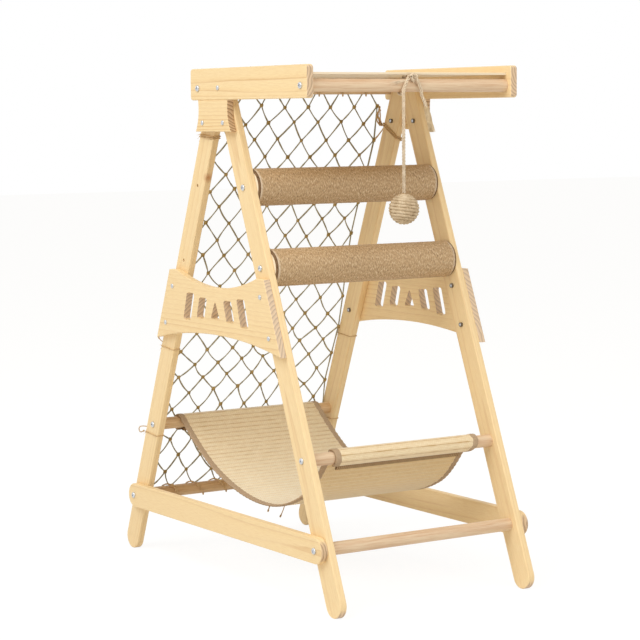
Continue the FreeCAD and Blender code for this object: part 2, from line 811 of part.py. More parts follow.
def ball_winding():
    """Rope wound round the ball from pole to pole, as one unbroken tube."""
    centre = ball_centre()
    radius = ball_diameter / 2 - ball_rope / 2
    pole = math.radians(ball_pole_angle)
    quarters = 4 * ball_turns
    points = []
    for quarter in range(quarters + 1):
        angle = pole + (math.pi - 2 * pole) * quarter / quarters
        reach = radius * math.sin(angle) * math.sqrt(2)
        turn = quarter * math.pi / 2 + math.pi / 4
        points.append(centre + at(reach * math.cos(turn), reach * math.sin(turn), radius * math.cos(angle)))
    path = winding_path(points)
    least_self_gap(path, ball_rope, 2 * math.pi * radius * math.sin(pole), "ball_winding")
    return tube(path, ball_rope, "ball_winding")


def ball_core():
    """The ball inside the winding, with a neck that reaches up to the cord."""
    radius = ball_diameter / 2 - ball_rope - ball_core_clearance
    core = Part.makeSphere(radius, ball_centre())
    neck = Part.makeCylinder(toy_cord_diameter / 2, ball_diameter / 2, ball_centre())
    return core.fuse(neck).removeSplitter()


def tail_direction():
    angle = math.radians(tail_lean)
    return at(math.sin(angle), 0, -math.cos(angle))


def tail_points():
    front, bend = toy_axis()
    start = at(tail_place, front, bend)
    knee = start + at(tail_knee[0], 0, tail_knee[1])
    return [start, knee, knee + tail_direction() * tail_run]


def tassel():
    """The frayed end of the tail, a slim bundle that widens downwards."""
    end = tail_points()[-1]
    return Part.makeCone(toy_cord_diameter / 2, tassel_diameter / 2, tassel_length, end, tail_direction())


os.makedirs("parts", exist_ok=True)

pieces = {
    "front_leg": leg(-1),
    "rear_leg": leg(1),
    "top_beam": top_beam(),
    "apex_plate": apex_plate(),
    "side_plate": side_plate(),
    "base_rail": base_rail(),
}
for piece_name, piece in pieces.items():
    save("left_" + piece_name, piece)
    save("right_" + piece_name, mirrored(piece))
save("top_shelf", top_shelf())

all_inserts = []
all_bolts = []
for member, (y_place, z_place, half_length, seat) in cross_members().items():
    save(member, dowel(y_place, z_place, half_length))
    all_inserts += inserts(y_place, z_place, half_length)
    all_bolts += bolt_pair(y_place, z_place, half_length, seat)
all_plugs = []
for post, (y_place, z_place) in posts().items():
    save(post + "_tube", post_tube(y_place, z_place))
    save(post + "_cover", post_cover(y_place, z_place))
    all_plugs += post_plugs(y_place, z_place)
    all_inserts += inserts(y_place, z_place, half_inner)
    all_bolts += bolt_pair(y_place, z_place, half_inner, leg_outer)
save("post_plugs", all_plugs)
save("threaded_inserts", all_inserts)
save("dowel_bolts", all_bolts)
bolts, nuts = plate_bolts()
save("plate_bolts", bolts)
save("plate_nuts", nuts)
save("beam_screws", beam_screws())

hammock()

save("net", net())
save("net_top_lashing", lashing(rear_dowel_y, top_dowel_height, "net_top_lashing"))
save("net_bottom_lashing", lashing(leg_middle(rail_axis_height), rail_axis_height, "net_bottom_lashing"))
ties = [leg_tie(height) for height in tie_heights]
save("left_net_ties", ties)
save("right_net_ties", [mirrored(tie) for tie in ties])

save("toy_loop", toy_loop())
save("toy_knot", toy_knot())
save("toy_cord", toy_cord())
save("ball_core", ball_core())
save("ball_winding", ball_winding())
save("tail_cord", hanging_cord(tail_points(), "tail_cord"))
save("tail_tassel", tassel())
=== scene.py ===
# %% [markdown]
# # A pet climbing frame, dressed
# Two A-shaped side frames of planed pine carry a shelf, two sisal posts, a slung mat, a net and a rope
# ball. The boards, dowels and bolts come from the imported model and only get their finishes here. Everything
# soft is modelled anew, because its twist, weave and sag are what the eye looks for.

# %% Frame and units
import random
from math import atan2, copysign, cos, pi, radians, remainder, sin, sqrt, tan

import bpy
from mathutils import Matrix, Vector


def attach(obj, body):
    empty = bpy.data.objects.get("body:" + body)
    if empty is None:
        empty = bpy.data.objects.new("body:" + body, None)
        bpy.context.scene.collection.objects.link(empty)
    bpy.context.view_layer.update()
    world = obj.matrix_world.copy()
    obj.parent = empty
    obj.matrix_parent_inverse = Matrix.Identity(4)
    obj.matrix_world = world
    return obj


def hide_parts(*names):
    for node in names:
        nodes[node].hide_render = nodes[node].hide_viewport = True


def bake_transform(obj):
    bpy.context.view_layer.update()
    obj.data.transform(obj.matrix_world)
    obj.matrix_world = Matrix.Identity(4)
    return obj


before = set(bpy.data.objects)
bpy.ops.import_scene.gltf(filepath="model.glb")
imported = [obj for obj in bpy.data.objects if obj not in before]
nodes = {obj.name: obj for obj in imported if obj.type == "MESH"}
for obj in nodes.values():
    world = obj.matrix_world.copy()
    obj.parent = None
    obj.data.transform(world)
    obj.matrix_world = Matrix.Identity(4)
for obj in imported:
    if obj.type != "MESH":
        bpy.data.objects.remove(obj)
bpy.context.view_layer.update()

MM = 0.001
chance = random.Random(7)
draw = chance.uniform

# %% [markdown]
# ## Camera
# The photograph was taken from the front left, a little below the height of the shelf, through a long lens.
# The place and the turn of the camera come from the boards' edges in the photograph, so the lens needs no
# shift and the object stays in the middle of every other view.

# %% Camera
camera_place = Vector((-2.3281, -3.6415, 0.9286))
camera_forward = Vector((0.53687, 0.83819, -0.09597))
camera_roll = radians(-0.472)
camera_lens_mm = 119.47
sensor_mm = 36.0

camera = bpy.data.objects.new("camera", bpy.data.cameras.new("camera"))
bpy.context.scene.collection.objects.link(camera)
camera.data.lens = camera_lens_mm
camera.data.sensor_width = sensor_mm
camera.location = camera_place
level = camera_forward.to_track_quat("-Z", "Y").to_matrix()
camera.rotation_euler = (level @ Matrix.Rotation(camera_roll, 3, "Z")).to_euler()
bpy.context.scene.camera = camera
print("camera at", [round(x, 3) for x in camera.location])

# %% [markdown]
# ## Helpers for meshes
# Ropes, net and mat are long forms that follow a line, so their points are worked out in code. A rope is
# two or three strands that twist round a line, and a single fibre is one. A strip is a section that is
# carried along a line. Both have a UV map in metres along the form, so that a material can lay fibres or
# threads on it.


# %% Mesh helpers
lobe_depth = 0.35               # depth of the groove between two yarns, of the cord's radius
twine_lay = 8.0 * MM            # length in which a thin cord twists once
fibre_lay = 400.0 * MM          # length in which a single fibre turns once
hair_size = 0.3 * MM
cut_angle = radians(75)         # sharper corners than this, such as cut ends, are not shaded round


def piece_from(name, parts, material):
    """One object from a list of (points, faces, uvs), with smooth faces and one material."""
    points, faces, uvs = [], [], []
    for part_points, part_faces, part_uvs in parts:
        start = len(points)
        points += part_points
        faces += [tuple(start + i for i in face) for face in part_faces]
        uvs += part_uvs
    mesh = bpy.data.meshes.new(name)
    mesh.from_pydata([tuple(p) for p in points], [], faces)
    layer = mesh.uv_layers.new(name="Thread")
    for polygon in mesh.polygons:
        corners = [uvs[i] for i in polygon.vertices]
        seam = max(v for u, v in corners) - min(v for u, v in corners) > 0.5
        for loop, (u, v) in zip(polygon.loop_indices, corners):
            layer.data[loop].uv = (u, v + 1 if seam and v < 0.5 else v)
    mesh.polygons.foreach_set("use_smooth", [True] * len(mesh.polygons))
    mesh.set_sharp_from_angle(angle=cut_angle)
    mesh.materials.append(material)
    obj = bpy.data.objects.new(name, mesh)
    bpy.context.scene.collection.objects.link(obj)
    print(f"{name}: {len(mesh.polygons)} faces")
    return obj


def fit(piece, node, body="frame"):
    """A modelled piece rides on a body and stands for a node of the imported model."""
    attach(piece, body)
    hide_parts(node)
    return piece


def shares(count):
    """Even steps from 0 to 1."""
    return [step / count for step in range(count + 1)]


def tube_faces(rings, sides):
    """Faces of a tube with closed ends, whose rings of points follow each other."""
    faces = []
    for ring in range(rings - 1):
        for corner in range(sides):
            a = ring * sides + corner
            b = ring * sides + (corner + 1) % sides
            faces.append((a, b, b + sides, a + sides))
    faces.append(tuple(reversed(range(sides))))
    faces.append(tuple((rings - 1) * sides + corner for corner in range(sides)))
    return faces


def axes_along(points):
    """Two cross axes at each point of a line, turned as little as possible on the way."""
    axes = []
    side = None
    for index in range(len(points)):
        before = points[max(index - 1, 0)]
        after = points[min(index + 1, len(points) - 1)]
        direction = (after - before).normalized()
        if side is None:
            side = direction.orthogonal()
        side = (side - direction * side.dot(direction)).normalized()
        axes.append((side, direction.cross(side)))
    return axes


def spoke(axes, turn):
    """The direction at an angle between two cross axes."""
    return axes[0] * cos(turn) + axes[1] * sin(turn)


def walk(points, size_at=None):
    """Each point of a line with its cross axes, the distance to it and its scale, which size_at gives."""
    along = 0.0
    for index, (point, axes) in enumerate(zip(points, axes_along(points))):
        along += (point - points[max(index - 1, 0)]).length
        yield point, axes, along, size_at(index / (len(points) - 1)) if size_at else 1.0


def rope(points, diameter, strands, lay, sides, size_at=None):
    """Strands twisted round a line; lay is the length of one twist."""
    outer = diameter / 2
    strand = outer / (1 + 1 / sin(pi / strands)) if strands > 1 else outer
    made, faces, uvs = [], [], []
    for number in range(strands):
        first = len(made)
        for point, axes, along, size in walk(points, size_at):
            turn = 2 * pi * (along / lay + number / strands)
            middle = spoke(axes, turn) * (outer - strand)
            for corner in range(sides):
                out = spoke(axes, 2 * pi * corner / sides + turn)
                made.append(point + (middle + out * strand) * size)
                uvs.append((along, corner / sides))
        faces += [tuple(first + i for i in face) for face in tube_faces(len(points), sides)]
    return made, faces, uvs


def fibre(points, diameter, taper):
    """A single fibre that loses a share of its size towards its tip."""
    return rope(points, diameter, 1, fibre_lay, 4, lambda along: 1.0 - taper * along)


def twine(points, diameter, sides=6, size_at=None, lay=twine_lay):
    """A thin cord of two yarns as one tube: its section has two lobes, which twist along it."""
    made, uvs = [], []
    for point, axes, along, size in walk(points, size_at):
        for corner in range(sides):
            angle = 2 * pi * corner / sides
            lobe = 1 - lobe_depth * sin(angle - 2 * pi * along / lay) ** 2
            made.append(point + spoke(axes, angle) * (diameter / 2 * lobe * size))
            uvs.append((along, corner / sides))
    return made, tube_faces(len(points), sides), uvs


def spindle(along):
    """A scale that swells in the middle of a short cord and makes a lump of it."""
    return 0.4 + 0.6 * sin(pi * along)


def hair(root, way, length):
    """One stray fibre: a long thin spike with three sides."""
    side = way.orthogonal().normalized()
    axes = (side, way.cross(side))
    made = [root + spoke(axes, 2 * pi * corner / 3) * hair_size / 2 for corner in range(3)]
    made.append(root + way * length)
    return made, [(2, 1, 0), (0, 1, 3), (1, 2, 3), (2, 0, 3)], [(0.0, 0.0)] * 3 + [(length, 0.0)]


def hairs_round(points, radius, count, length):
    """Stray fibres that stand off a cord at random places."""
    axes = axes_along(points)
    made = []
    for _ in range(count):
        index = chance.randrange(1, len(points) - 1)
        side, other = axes[index]
        out = spoke(axes[index], draw(0, 2 * pi))
        way = (out + side.cross(other) * draw(-1.2, 1.2)).normalized()
        made.append(hair(points[index] + out * radius, way, length * draw(0.5, 1.0)))
    return made


def strip(stations, section_at):
    """A section carried along stations of (point, across, up); section_at gives its corners there."""
    made, uvs = [], []
    along = 0.0
    last = stations[0][0]
    for index, (point, across, up) in enumerate(stations):
        along += (point - last).length
        last = point
        section = section_at(index, along)
        made += [point + across * a + up * b for a, b in section]
        uvs += [(a, along) for a, b in section]
    return made, tube_faces(len(stations), len(section)), uvs


def spline_points(name, route, resolution):
    """Points of a smooth NURBS line whose control points are a cord's route, in millimetres."""
    curve = bpy.data.curves.new(name, "CURVE")
    curve.dimensions = "3D"
    curve.resolution_u = resolution
    spline = curve.splines.new("NURBS")
    spline.points.add(len(route) - 1)
    for control, (x, y, z) in zip(spline.points, route):
        control.co = (x * MM, y * MM, z * MM, 1.0)
    spline.order_u = 3
    spline.use_endpoint_u = True
    holder = bpy.data.objects.new(name, curve)
    mesh = bpy.data.meshes.new_from_object(holder)
    points = [vertex.co.copy() for vertex in mesh.vertices]
    bpy.data.meshes.remove(mesh)
    bpy.data.objects.remove(holder)
    bpy.data.curves.remove(curve)
    return points


def length_of(points):
    return sum((b - a).length for a, b in zip(points, points[1:]))


# %% [markdown]
# ## Helpers for materials
# Each material is a node tree. One function adds a node, sets it and links it. Another ends a material with
# its shader and its relief, as every finish here does. Colours are sRGB hex values, as they look on the
# object, and are turned to linear light once.

# %% Material helpers
BLEND = {"data_type": "RGBA"}                               # mixes two colours
TINT = {"data_type": "RGBA", "blend_type": "MULTIPLY"}      # multiplies one colour by another


def linear(code):
    """Linear RGBA of an sRGB hex colour."""
    parts = [int(code[i:i + 2], 16) / 255 for i in (1, 3, 5)]
    return [p / 12.92 if p <= 0.04045 else ((p + 0.055) / 1.055) ** 2.4 for p in parts] + [1.0]


def add(tree, kind, inputs=None, stops=(), **settings):
    """Adds a node. An input takes a value, a hex colour, a socket or the first output of a node."""
    made = tree.nodes.new("ShaderNode" + kind)
    for name, value in settings.items():
        setattr(made, name, value)
    for name, value in (inputs or {}).items():
        if isinstance(value, bpy.types.Node):
            value = next(socket for socket in value.outputs if socket.enabled)
        if isinstance(value, bpy.types.NodeSocket):
            tree.links.new(value, made.inputs[name])
        else:
            made.inputs[name].default_value = linear(value) if isinstance(value, str) else value
    while stops and len(made.color_ramp.elements) < len(stops):
        made.color_ramp.elements.new(0.5)
    for index, (place, colour) in enumerate(stops):
        made.color_ramp.elements[index].position = place
        made.color_ramp.elements[index].color = linear(colour)
    return made


def new_material(name):
    """An empty material and its node tree."""
    material = bpy.data.materials.new(name)
    material.use_nodes = True
    material.node_tree.nodes.clear()
    return material, material.node_tree


def finished(material, shading, height=None, strength=0.0, depth=0.0):
    """Ends a material with its shader, and with a bump of a real depth where a height is given."""
    tree = material.node_tree
    if height is not None:
        shading["Normal"] = add(tree, "Bump", {"Height": height, "Strength": strength, "Distance": depth})
    add(tree, "OutputMaterial", {"Surface": add(tree, "BsdfPrincipled", shading)})
    return material


def dress(node, material):
    """Gives a CAD node its finish."""
    nodes[node].data.materials.clear()
    nodes[node].data.materials.append(material)


# %% [markdown]
# ## Planed pine
# Pine has pale early wood and a thin darker line of late wood in each yearly ring, about 6 to 8 mm apart
# here. The rings lie round the pith, which runs along the board outside its face, so a solid pattern of
# rings gives long lines on the faces and arcs on the ends at once. The lines fade in and out along a board.
# The end grain soaks up more lacquer and is browner. A thin matt lacquer gives a soft sheen.

# %% Planed pine
RING_PERIOD = pi / 10           # distance between the rings of a wave texture of scale 1
grain_stretch = 0.045           # how much slower the pattern changes along the grain
fibre_width = 0.9 * MM          # real fibres are too fine to show, so these are coarser
wander_size = 33.0 * MM         # size of the wobbles in the rings
ring_wander = 9.0 * MM          # how far the rings stray from true circles
fade_size = 45.0 * MM           # size of the patches in which the lines fade
branch_core = 2.0 * MM
branch_radius = 13.0 * MM       # reach of the reddish wood round a branch
fibre_depth = 0.4 * MM          # depth of the relief of fibres, here and in the materials below


def planed_pine(name, grain_turn, pith, ring_gap, boldness, end_depth, branch=None):
    """Pine with its grain grain_turn degrees up from Y, round a pith at (x, height across the grain)."""
    material, tree = new_material(name)
    lean = radians(grain_turn)
    place = add(tree, "TexCoord").outputs
    turned = add(tree, "Mapping", {"Vector": place["Object"], "Rotation": (-lean, 0.0, 0.0)})
    centred = add(tree, "Mapping", {
        "Vector": turned, "Location": (-pith[0], pith[0] + pith[1], -pith[1]),
        "Scale": (1.0, grain_stretch, 1.0)})
    wander = add(tree, "TexNoise", {"Vector": centred, "Scale": 1 / wander_size, "Roughness": 0.4})
    strayed = add(tree, "VectorMath", {
        0: wander.outputs["Color"], 1: (2 * ring_wander, 0.0, 2 * ring_wander), 2: centred},
        operation="MULTIPLY_ADD")
    rings = add(tree, "TexWave", {"Vector": strayed, "Scale": RING_PERIOD / ring_gap},
                wave_type="RINGS", rings_direction="Y", wave_profile="SAW").outputs["Fac"]
    line = add(tree, "ValToRGB", {"Fac": rings}, [
        (0.0, "#F8DEAF"), (0.45, "#F8DDAB"), (0.78, "#F1D19C"), (0.93, "#DBB077"), (1.0, "#F6DCAE")])
    fade = add(tree, "TexNoise", {"Vector": centred, "Scale": 1 / fade_size, "Detail": 1.0})
    shown = add(tree, "MapRange", {
        "Value": fade, "From Min": 0.36, "From Max": 0.62, "To Min": 0.35 * boldness, "To Max": boldness})
    lined = add(tree, "Mix", {"Factor": shown, "A": "#F8DEAF", "B": line}, **BLEND)
    fibres = add(tree, "TexNoise", {
        "Vector": centred, "Scale": 1 / fibre_width, "Detail": 3.0, "Roughness": 0.6})
    fibre_tint = add(tree, "ValToRGB", {"Fac": fibres}, [(0.3, "#EEE2D0"), (0.62, "#FFFFFF")])
    planed = add(tree, "Mix", {"Factor": 0.55, "A": lined, "B": fibre_tint}, **TINT)
    facing = add(tree, "VectorMath", {
        0: place["Normal"], 1: (0.0, cos(lean), sin(lean))}, operation="DOT_PRODUCT")
    along_grain = add(tree, "Math", {0: facing}, operation="ABSOLUTE")
    end_grain = add(tree, "MapRange", {"Value": along_grain, "From Min": 0.55, "From Max": 0.85})
    end_line = add(tree, "ValToRGB", {"Fac": rings}, [
        (0.0, "#DDBE96"), (0.45, "#D0AC82"), (0.88, "#946E48"), (1.0, "#D6B38A")])
    end_colour = add(tree, "Mix", {"Factor": end_depth, "A": "#F0E1CE", "B": end_line}, **BLEND)
    colour = add(tree, "Mix", {"Factor": end_grain, "A": planed, "B": end_colour}, **BLEND)
    if branch:
        away = add(tree, "VectorMath", {0: place["Object"], 1: branch}, operation="DISTANCE")
        near = add(tree, "MapRange", {
            "Value": away, "From Min": branch_core, "From Max": branch_radius,
            "To Min": 0.75, "To Max": 0.0})
        colour = add(tree, "Mix", {"Factor": near, "A": colour, "B": "#B9763E"}, **BLEND)
    gloss = add(tree, "MapRange", {
        "Value": rings, "From Min": 0.4, "From Max": 1.0, "To Min": 0.52, "To Max": 0.44})
    return finished(material, {"Base Color": colour, "Roughness": gloss, "Specular IOR Level": 0.35},
                    fibres, 0.18, fibre_depth)


leg_lean = 21.9
leg_axis_across = 378.6         # height of a leg's middle line across its grain
leg_middle_x = 220.0
plate_middle_x = 235.0
# each board's grain turn, middle, pith from there, ring spacing, boldness of lines, depth of its end grain
boards = {
    "front_leg": (90 - leg_lean, (leg_middle_x, leg_axis_across), (-46.0, 16.0), 7.4, 0.45, 0.7),
    "rear_leg": (90 + leg_lean, (leg_middle_x, -leg_axis_across), (-52.0, -12.0), 7.8, 0.45, 0.7),
    "top_beam": (0.0, (plate_middle_x, 991.0), (44.0, 30.0), 6.2, 0.75, 0.75),
    "apex_plate": (0.0, (plate_middle_x, 929.0), (26.0, -110.0), 6.4, 1.0, 1.0),
    "side_plate": (0.0, (plate_middle_x, 544.5), (-62.0, -70.0), 7.6, 0.5, 0.62),
    "base_rail": (0.0, (plate_middle_x, 122.0), (40.0, 6.0), 7.0, 0.5, 0.85),
}
right_shift = 5.0               # keeps the two side frames from having the very same rings
branch_place = (-221 * MM, 57 * MM, 806 * MM)
for board, (turn, middle, pith, gap, boldness, depth) in boards.items():
    for side, hand in (("left", -1), ("right", 1)):
        spot = (hand * (middle[0] + pith[0]) * MM, (middle[1] + pith[1] + right_shift * hand) * MM)
        branch = branch_place if (side, board) == ("left", "rear_leg") else None
        pine = planed_pine(f"planed_pine_{side}_{board}", turn, spot, gap * MM, boldness, depth, branch)
        dress(f"{side}_{board}", pine)
print("pine boards:", 2 * len(boards))

# %% [markdown]
# ## Turned birch, thin plywood, card and metal
# The dowels are turned from a close wood with short fine streaks along their length; the rear ones wear a
# warmer copy of it, which is painted warm shade. The shelf is a thin pale panel whose edge shows its plies.
# The posts' tubes are wound from kraft card, so a seam spirals round them; the card's brown is partly its own
# and partly painted shade for the gaps at the sleeves' ends. The bolts are bright zinc-plated steel with a
# faint cloudy shine, and the nuts are a darker copy of it, a painted dark reflection. A picture of wood would
# need unwrapping and would show a seam. A noise in space that is stretched along the grain has none.


# %% Turned birch
def streaked_wood(name, scale, pale, dark, roughness, change=None):
    """Close-grained wood with fine streaks, so many per metre of x, y and z; change alters its colour."""
    material, tree = new_material(name)
    place = add(tree, "TexCoord").outputs["Object"]
    stretched = add(tree, "Mapping", {"Vector": place, "Scale": scale})
    streaks = add(tree, "TexNoise", {"Vector": stretched, "Scale": 1.0, "Detail": 4.0, "Roughness": 0.62})
    broad = add(tree, "TexNoise", {"Vector": stretched, "Scale": 0.18, "Detail": 1.0})
    mixed = add(tree, "Mix", {"Factor": 0.45, "A": streaks, "B": broad})
    colour = add(tree, "ValToRGB", {"Fac": mixed}, [(0.36, dark), (0.58, pale)])
    colour = change(tree, colour) if change else colour
    return finished(material, {"Base Color": colour, "Roughness": roughness}, streaks, 0.15, fibre_depth)


dowel_streaks = (22.0, 700.0, 700.0)    # per metre, so a streak is about 45 mm long and 1.4 mm wide
ball_streaks = (500.0, 500.0, 60.0)     # about 17 mm long and 2 mm wide
pale_birch = streaked_wood("turned_pale_birch", dowel_streaks, "#E4CBAB", "#CBA37E", 0.5)
# the rear dowels wear a warmer copy of the birch: painted warm shade
painted_shade_birch = streaked_wood("turned_birch_in_painted_shade", dowel_streaks, "#E2C296", "#C29868", 0.5)
for member in ("top", "hammock", "base"):
    dress(f"front_{member}_dowel", pale_birch)
    dress(f"rear_{member}_dowel", painted_shade_birch)
dress("ball_core", streaked_wood("turned_ball_wood", ball_streaks, "#C9A271", "#A67C4C", 0.6))
print("dowels dressed")

# %% Plywood, card and metal
shelf_streaks = (420.0, 14.0, 300.0)    # per metre, so a streak is about 70 mm long and 2.4 mm wide
shelf_bottom, shelf_top = 1004 * MM, 1008 * MM
seam_gap = 60 * MM
pulp_per_metre = 420.0          # real pulp is too fine to show, so its flakes are about 2.4 mm here
cloud_size = 2.0 * MM


def with_plies(tree, face):
    """The colour of a sheet's face, with the darker middle ply showing along its edge."""
    place = add(tree, "TexCoord").outputs
    height = add(tree, "SeparateXYZ", {"Vector": place["Object"]}).outputs["Z"]
    facing = add(tree, "SeparateXYZ", {"Vector": place["Normal"]}).outputs["Z"]
    depth = add(tree, "MapRange", {"Value": height, "From Min": shelf_bottom, "From Max": shelf_top})
    plies = add(tree, "ValToRGB", {"Fac": depth}, [
        (0.0, "#F8ECD6"), (0.32, "#F5E6CC"), (0.38, "#E6D0AE"), (0.62, "#E2CCA6"), (0.68, "#F7E9D0")])
    flat = add(tree, "Math", {0: facing}, operation="ABSOLUTE")
    return add(tree, "Mix", {"Factor": flat, "A": plies, "B": face}, **BLEND)


def wound_card():
    """Kraft card: a spiral seam along the tube, and short pulp fibres; its brown is partly its own and partly
    painted shade for the gaps at the sleeves' ends.
    """
    material, tree = new_material("wound_kraft_card")
    place = add(tree, "TexCoord").outputs["Object"]
    seams = add(tree, "TexWave", {"Vector": place, "Scale": RING_PERIOD / seam_gap, "Distortion": 0.4},
                bands_direction="DIAGONAL", wave_profile="SAW").outputs["Fac"]
    pulp = add(tree, "TexNoise", {
        "Vector": place, "Scale": pulp_per_metre, "Detail": 3.0, "Roughness": 0.7})
    seam = add(tree, "ValToRGB", {"Fac": seams}, [(0.0, "#B9A488"), (0.04, "#FFFFFF"), (1.0, "#FFFFFF")])
    # browns darker than the card's own: painted shade at the sleeves' ends
    kraft = add(tree, "ValToRGB", {"Fac": pulp}, [(0.32, "#6A5036"), (0.66, "#8A6C4C")])
    colour = add(tree, "Mix", {"Factor": 1.0, "A": kraft, "B": seam}, **TINT)
    return finished(material, {"Base Color": colour, "Roughness": 0.85}, pulp, 0.3, fibre_depth)


def zinc_plated_steel(name, pale, dark, roughness):
    """Plated metal with a faint cloudy tint and a roughness that varies with it."""
    material, tree = new_material(name)
    place = add(tree, "TexCoord").outputs["Object"]
    cloud = add(tree, "TexNoise", {"Vector": place, "Scale": 1 / cloud_size, "Detail": 3.0})
    colour = add(tree, "ValToRGB", {"Fac": cloud}, [(0.3, dark), (0.7, pale)])
    gloss = add(tree, "MapRange", {"Value": cloud, "To Min": roughness - 0.08, "To Max": roughness + 0.1})
    return finished(material, {"Base Color": colour, "Metallic": 1.0, "Roughness": gloss})


plywood = streaked_wood("thin_plywood", shelf_streaks, "#EFDDBB", "#DDBF92", 0.55, with_plies)
card = wound_card()
bright_zinc = zinc_plated_steel("bright_zinc_plated_steel", "#E4E6E8", "#B9BCC0", 0.3)
# the nuts are a darker copy of the zinc: a painted dark reflection of the shaded frame round them
painted_shade_zinc = zinc_plated_steel("nut_zinc_in_painted_shade", "#8F8880", "#6B645C", 0.45)
yellow_zinc = zinc_plated_steel("yellow_zinc_plated_steel", "#D9C48E", "#B59C63", 0.4)
for node, finish in (
        ("top_shelf", plywood), ("post_plugs", plywood), ("upper_post_tube", card),
        ("lower_post_tube", card), ("dowel_bolts", bright_zinc), ("plate_bolts", bright_zinc),
        ("beam_screws", bright_zinc), ("plate_nuts", painted_shade_zinc), ("threaded_inserts", yellow_zinc)):
    dress(node, finish)
print("plywood, card and metal dressed")

# %% [markdown]
# ## Twisted fibre
# Rope, cord and net are plant fibre: fine hairs that run along each strand, with painted shade where they lie
# deeper.
# One function gives all of them, with colours and fibre sizes of their own. The hairs are laid on the
# strands' UV map, because a noise in space would cut across the twist.

# %% Fibre material
patch_size = 11.0 * MM          # size of the patches in which the colour changes


def twisted_fibre(name, pale, middle, dark, hair_width):
    """Fibres along a strand's UV map, with slow changes of colour from place to place."""
    material, tree = new_material(name)
    thread = add(tree, "UVMap", uv_map="Thread")
    fine = add(tree, "Mapping", {"Vector": thread, "Scale": (0.12 / hair_width, 9.0, 1.0)})
    fibres = add(tree, "TexNoise", {"Vector": fine, "Scale": 1.0, "Detail": 4.0, "Roughness": 0.7})
    place = add(tree, "TexCoord").outputs["Object"]
    patches = add(tree, "TexNoise", {"Vector": place, "Scale": 1 / patch_size})
    mixed = add(tree, "Mix", {"Factor": 0.4, "A": fibres, "B": patches})
    # the fibres that sink lowest in the relief get the dark colour: painted shade
    colour = add(tree, "ValToRGB", {"Fac": mixed}, [(0.3, dark), (0.5, middle), (0.68, pale)])
    return finished(material, {"Base Color": colour, "Roughness": 0.9, "Specular IOR Level": 0.15},
                    fibres, 0.5, fibre_depth)


pale_sisal = twisted_fibre("pale_sisal_rope", "#F2E4D0", "#E2CFB4", "#B49C7E", 0.3 * MM)
ball_sisal = twisted_fibre("ball_sisal_rope", "#E6D5BB", "#CFB999", "#9E8464", 0.3 * MM)
tassel_sisal = twisted_fibre("tassel_sisal", "#ECDABC", "#D8C29E", "#B69A72", 0.2 * MM)
net_jute = twisted_fibre("net_jute_cord", "#C9C2A8", "#A8A085", "#7E765E", 0.25 * MM)
knot_jute = twisted_fibre("net_knot_jute", "#D4BA86", "#B0965E", "#806C3E", 0.3 * MM)
tie_jute = twisted_fibre("tie_jute_cord", "#EBD0A4", "#D4B284", "#A88860", 0.25 * MM)
print("fibres ready")

# %% [markdown]
# ## The hanging toy
# A cord is tied round the front top dowel. One end carries the ball and the other ends in a short frayed
# tail. The cords follow the imported model's routes, as smooth lines with three strands twisted round them. A
# bump on one plain tube could show a twist too, but its outline would stay smooth.

# %% Toy cords
cord_size = 7.0 * MM
cord_lay = 19.0 * MM
hair_root, hair_length = 2.6 * MM, 3.4 * MM
ball_route = [(-13, -343, 997), (-20, -343.6, 986), (-24, -342.4, 975), (-24, -342.1, 955),
              (-24, -342.1, 880), (-24, -342.1, 780.8)]
tail_route = [(4, -344, 997), (12, -344, 984), (17, -342.4, 974), (17, -342.1, 966),
              (24, -342.1, 954.5), (27.65, -342.1, 942.5)]


def hanging_cord(name, line, hairs):
    """A three-strand rope with stray hairs, with its place baked into its points."""
    hairs_on = hairs_round(line, hair_root, hairs, hair_length)
    piece = piece_from(name, [rope(line, cord_size, 3, cord_lay, 8), *hairs_on], pale_sisal)
    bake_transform(piece)
    return piece


ball_line = spline_points("ball_line", ball_route, 64)
tail_line = spline_points("tail_line", tail_route, 24)
toy_rope = hanging_cord("toy_rope", ball_line, 90)
tail_rope = hanging_cord("tail_rope", tail_line, 30)
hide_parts("toy_cord")
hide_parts("tail_cord")
print("cord lengths:", round(length_of(ball_line), 4), round(length_of(tail_line), 4))

# %% Loop and knot on the dowel
dowel_axis = Vector((0.0, -325.5, 983.5)) * MM
loop_radius = 16.6 * MM
loop_start, loop_end = -24 * MM, -3 * MM
loop_from, loop_sweep = -160, 293       # degrees round the dowel
loop_line = []
for share in shares(60):
    turn = radians(loop_from + loop_sweep * share)
    loop_line.append(Vector((
        loop_start + (loop_end - loop_start) * share,
        dowel_axis.y + loop_radius * cos(turn),
        dowel_axis.z + loop_radius * sin(turn))))
knot_middle = Vector((-0.2, -340.4, 998.4)) * MM
knot_size = 2.5 * MM
knot_line = []
for share in shares(48):
    turn = 2 * pi * share
    knot_line.append(knot_middle + Vector((
        sin(turn) + 2 * sin(2 * turn),
        -1.1 * sin(3 * turn),
        cos(turn) - 2 * cos(2 * turn))) * knot_size)
frayed_from = Vector((-14, -340, 993)) * MM
frayed_radius = 14.2 * MM               # the frayed end lies along the dowel
frayed_fibres, frayed_size = 14, 1.1 * MM
frayed_end = []
for _ in range(frayed_fibres):
    tip = Vector((draw(-54, -34), 0, draw(980, 990))) * MM
    tip.y = dowel_axis.y - sqrt(frayed_radius ** 2 - (tip.z - dowel_axis.z) ** 2)
    bend = frayed_from.lerp(tip, 0.5) + Vector((0, -0.8, draw(-1, 3))) * MM
    line = [frayed_from.lerp(bend, share).lerp(bend.lerp(tip, share), share) for share in shares(3)]
    frayed_end.append(fibre(line, frayed_size, 0.6))
toy_loop = piece_from("toy_loop_rope", [rope(loop_line, cord_size * 0.95, 2, cord_lay, 10)], pale_sisal)
toy_knot = piece_from("toy_knot_rope", [
    rope(knot_line, cord_size * 0.85, 2, cord_lay, 8), *hairs_round(knot_line, 2.4 * MM, 40, 5 * MM),
    *frayed_end], pale_sisal)
fit(toy_loop, "toy_loop")
fit(toy_knot, "toy_knot")

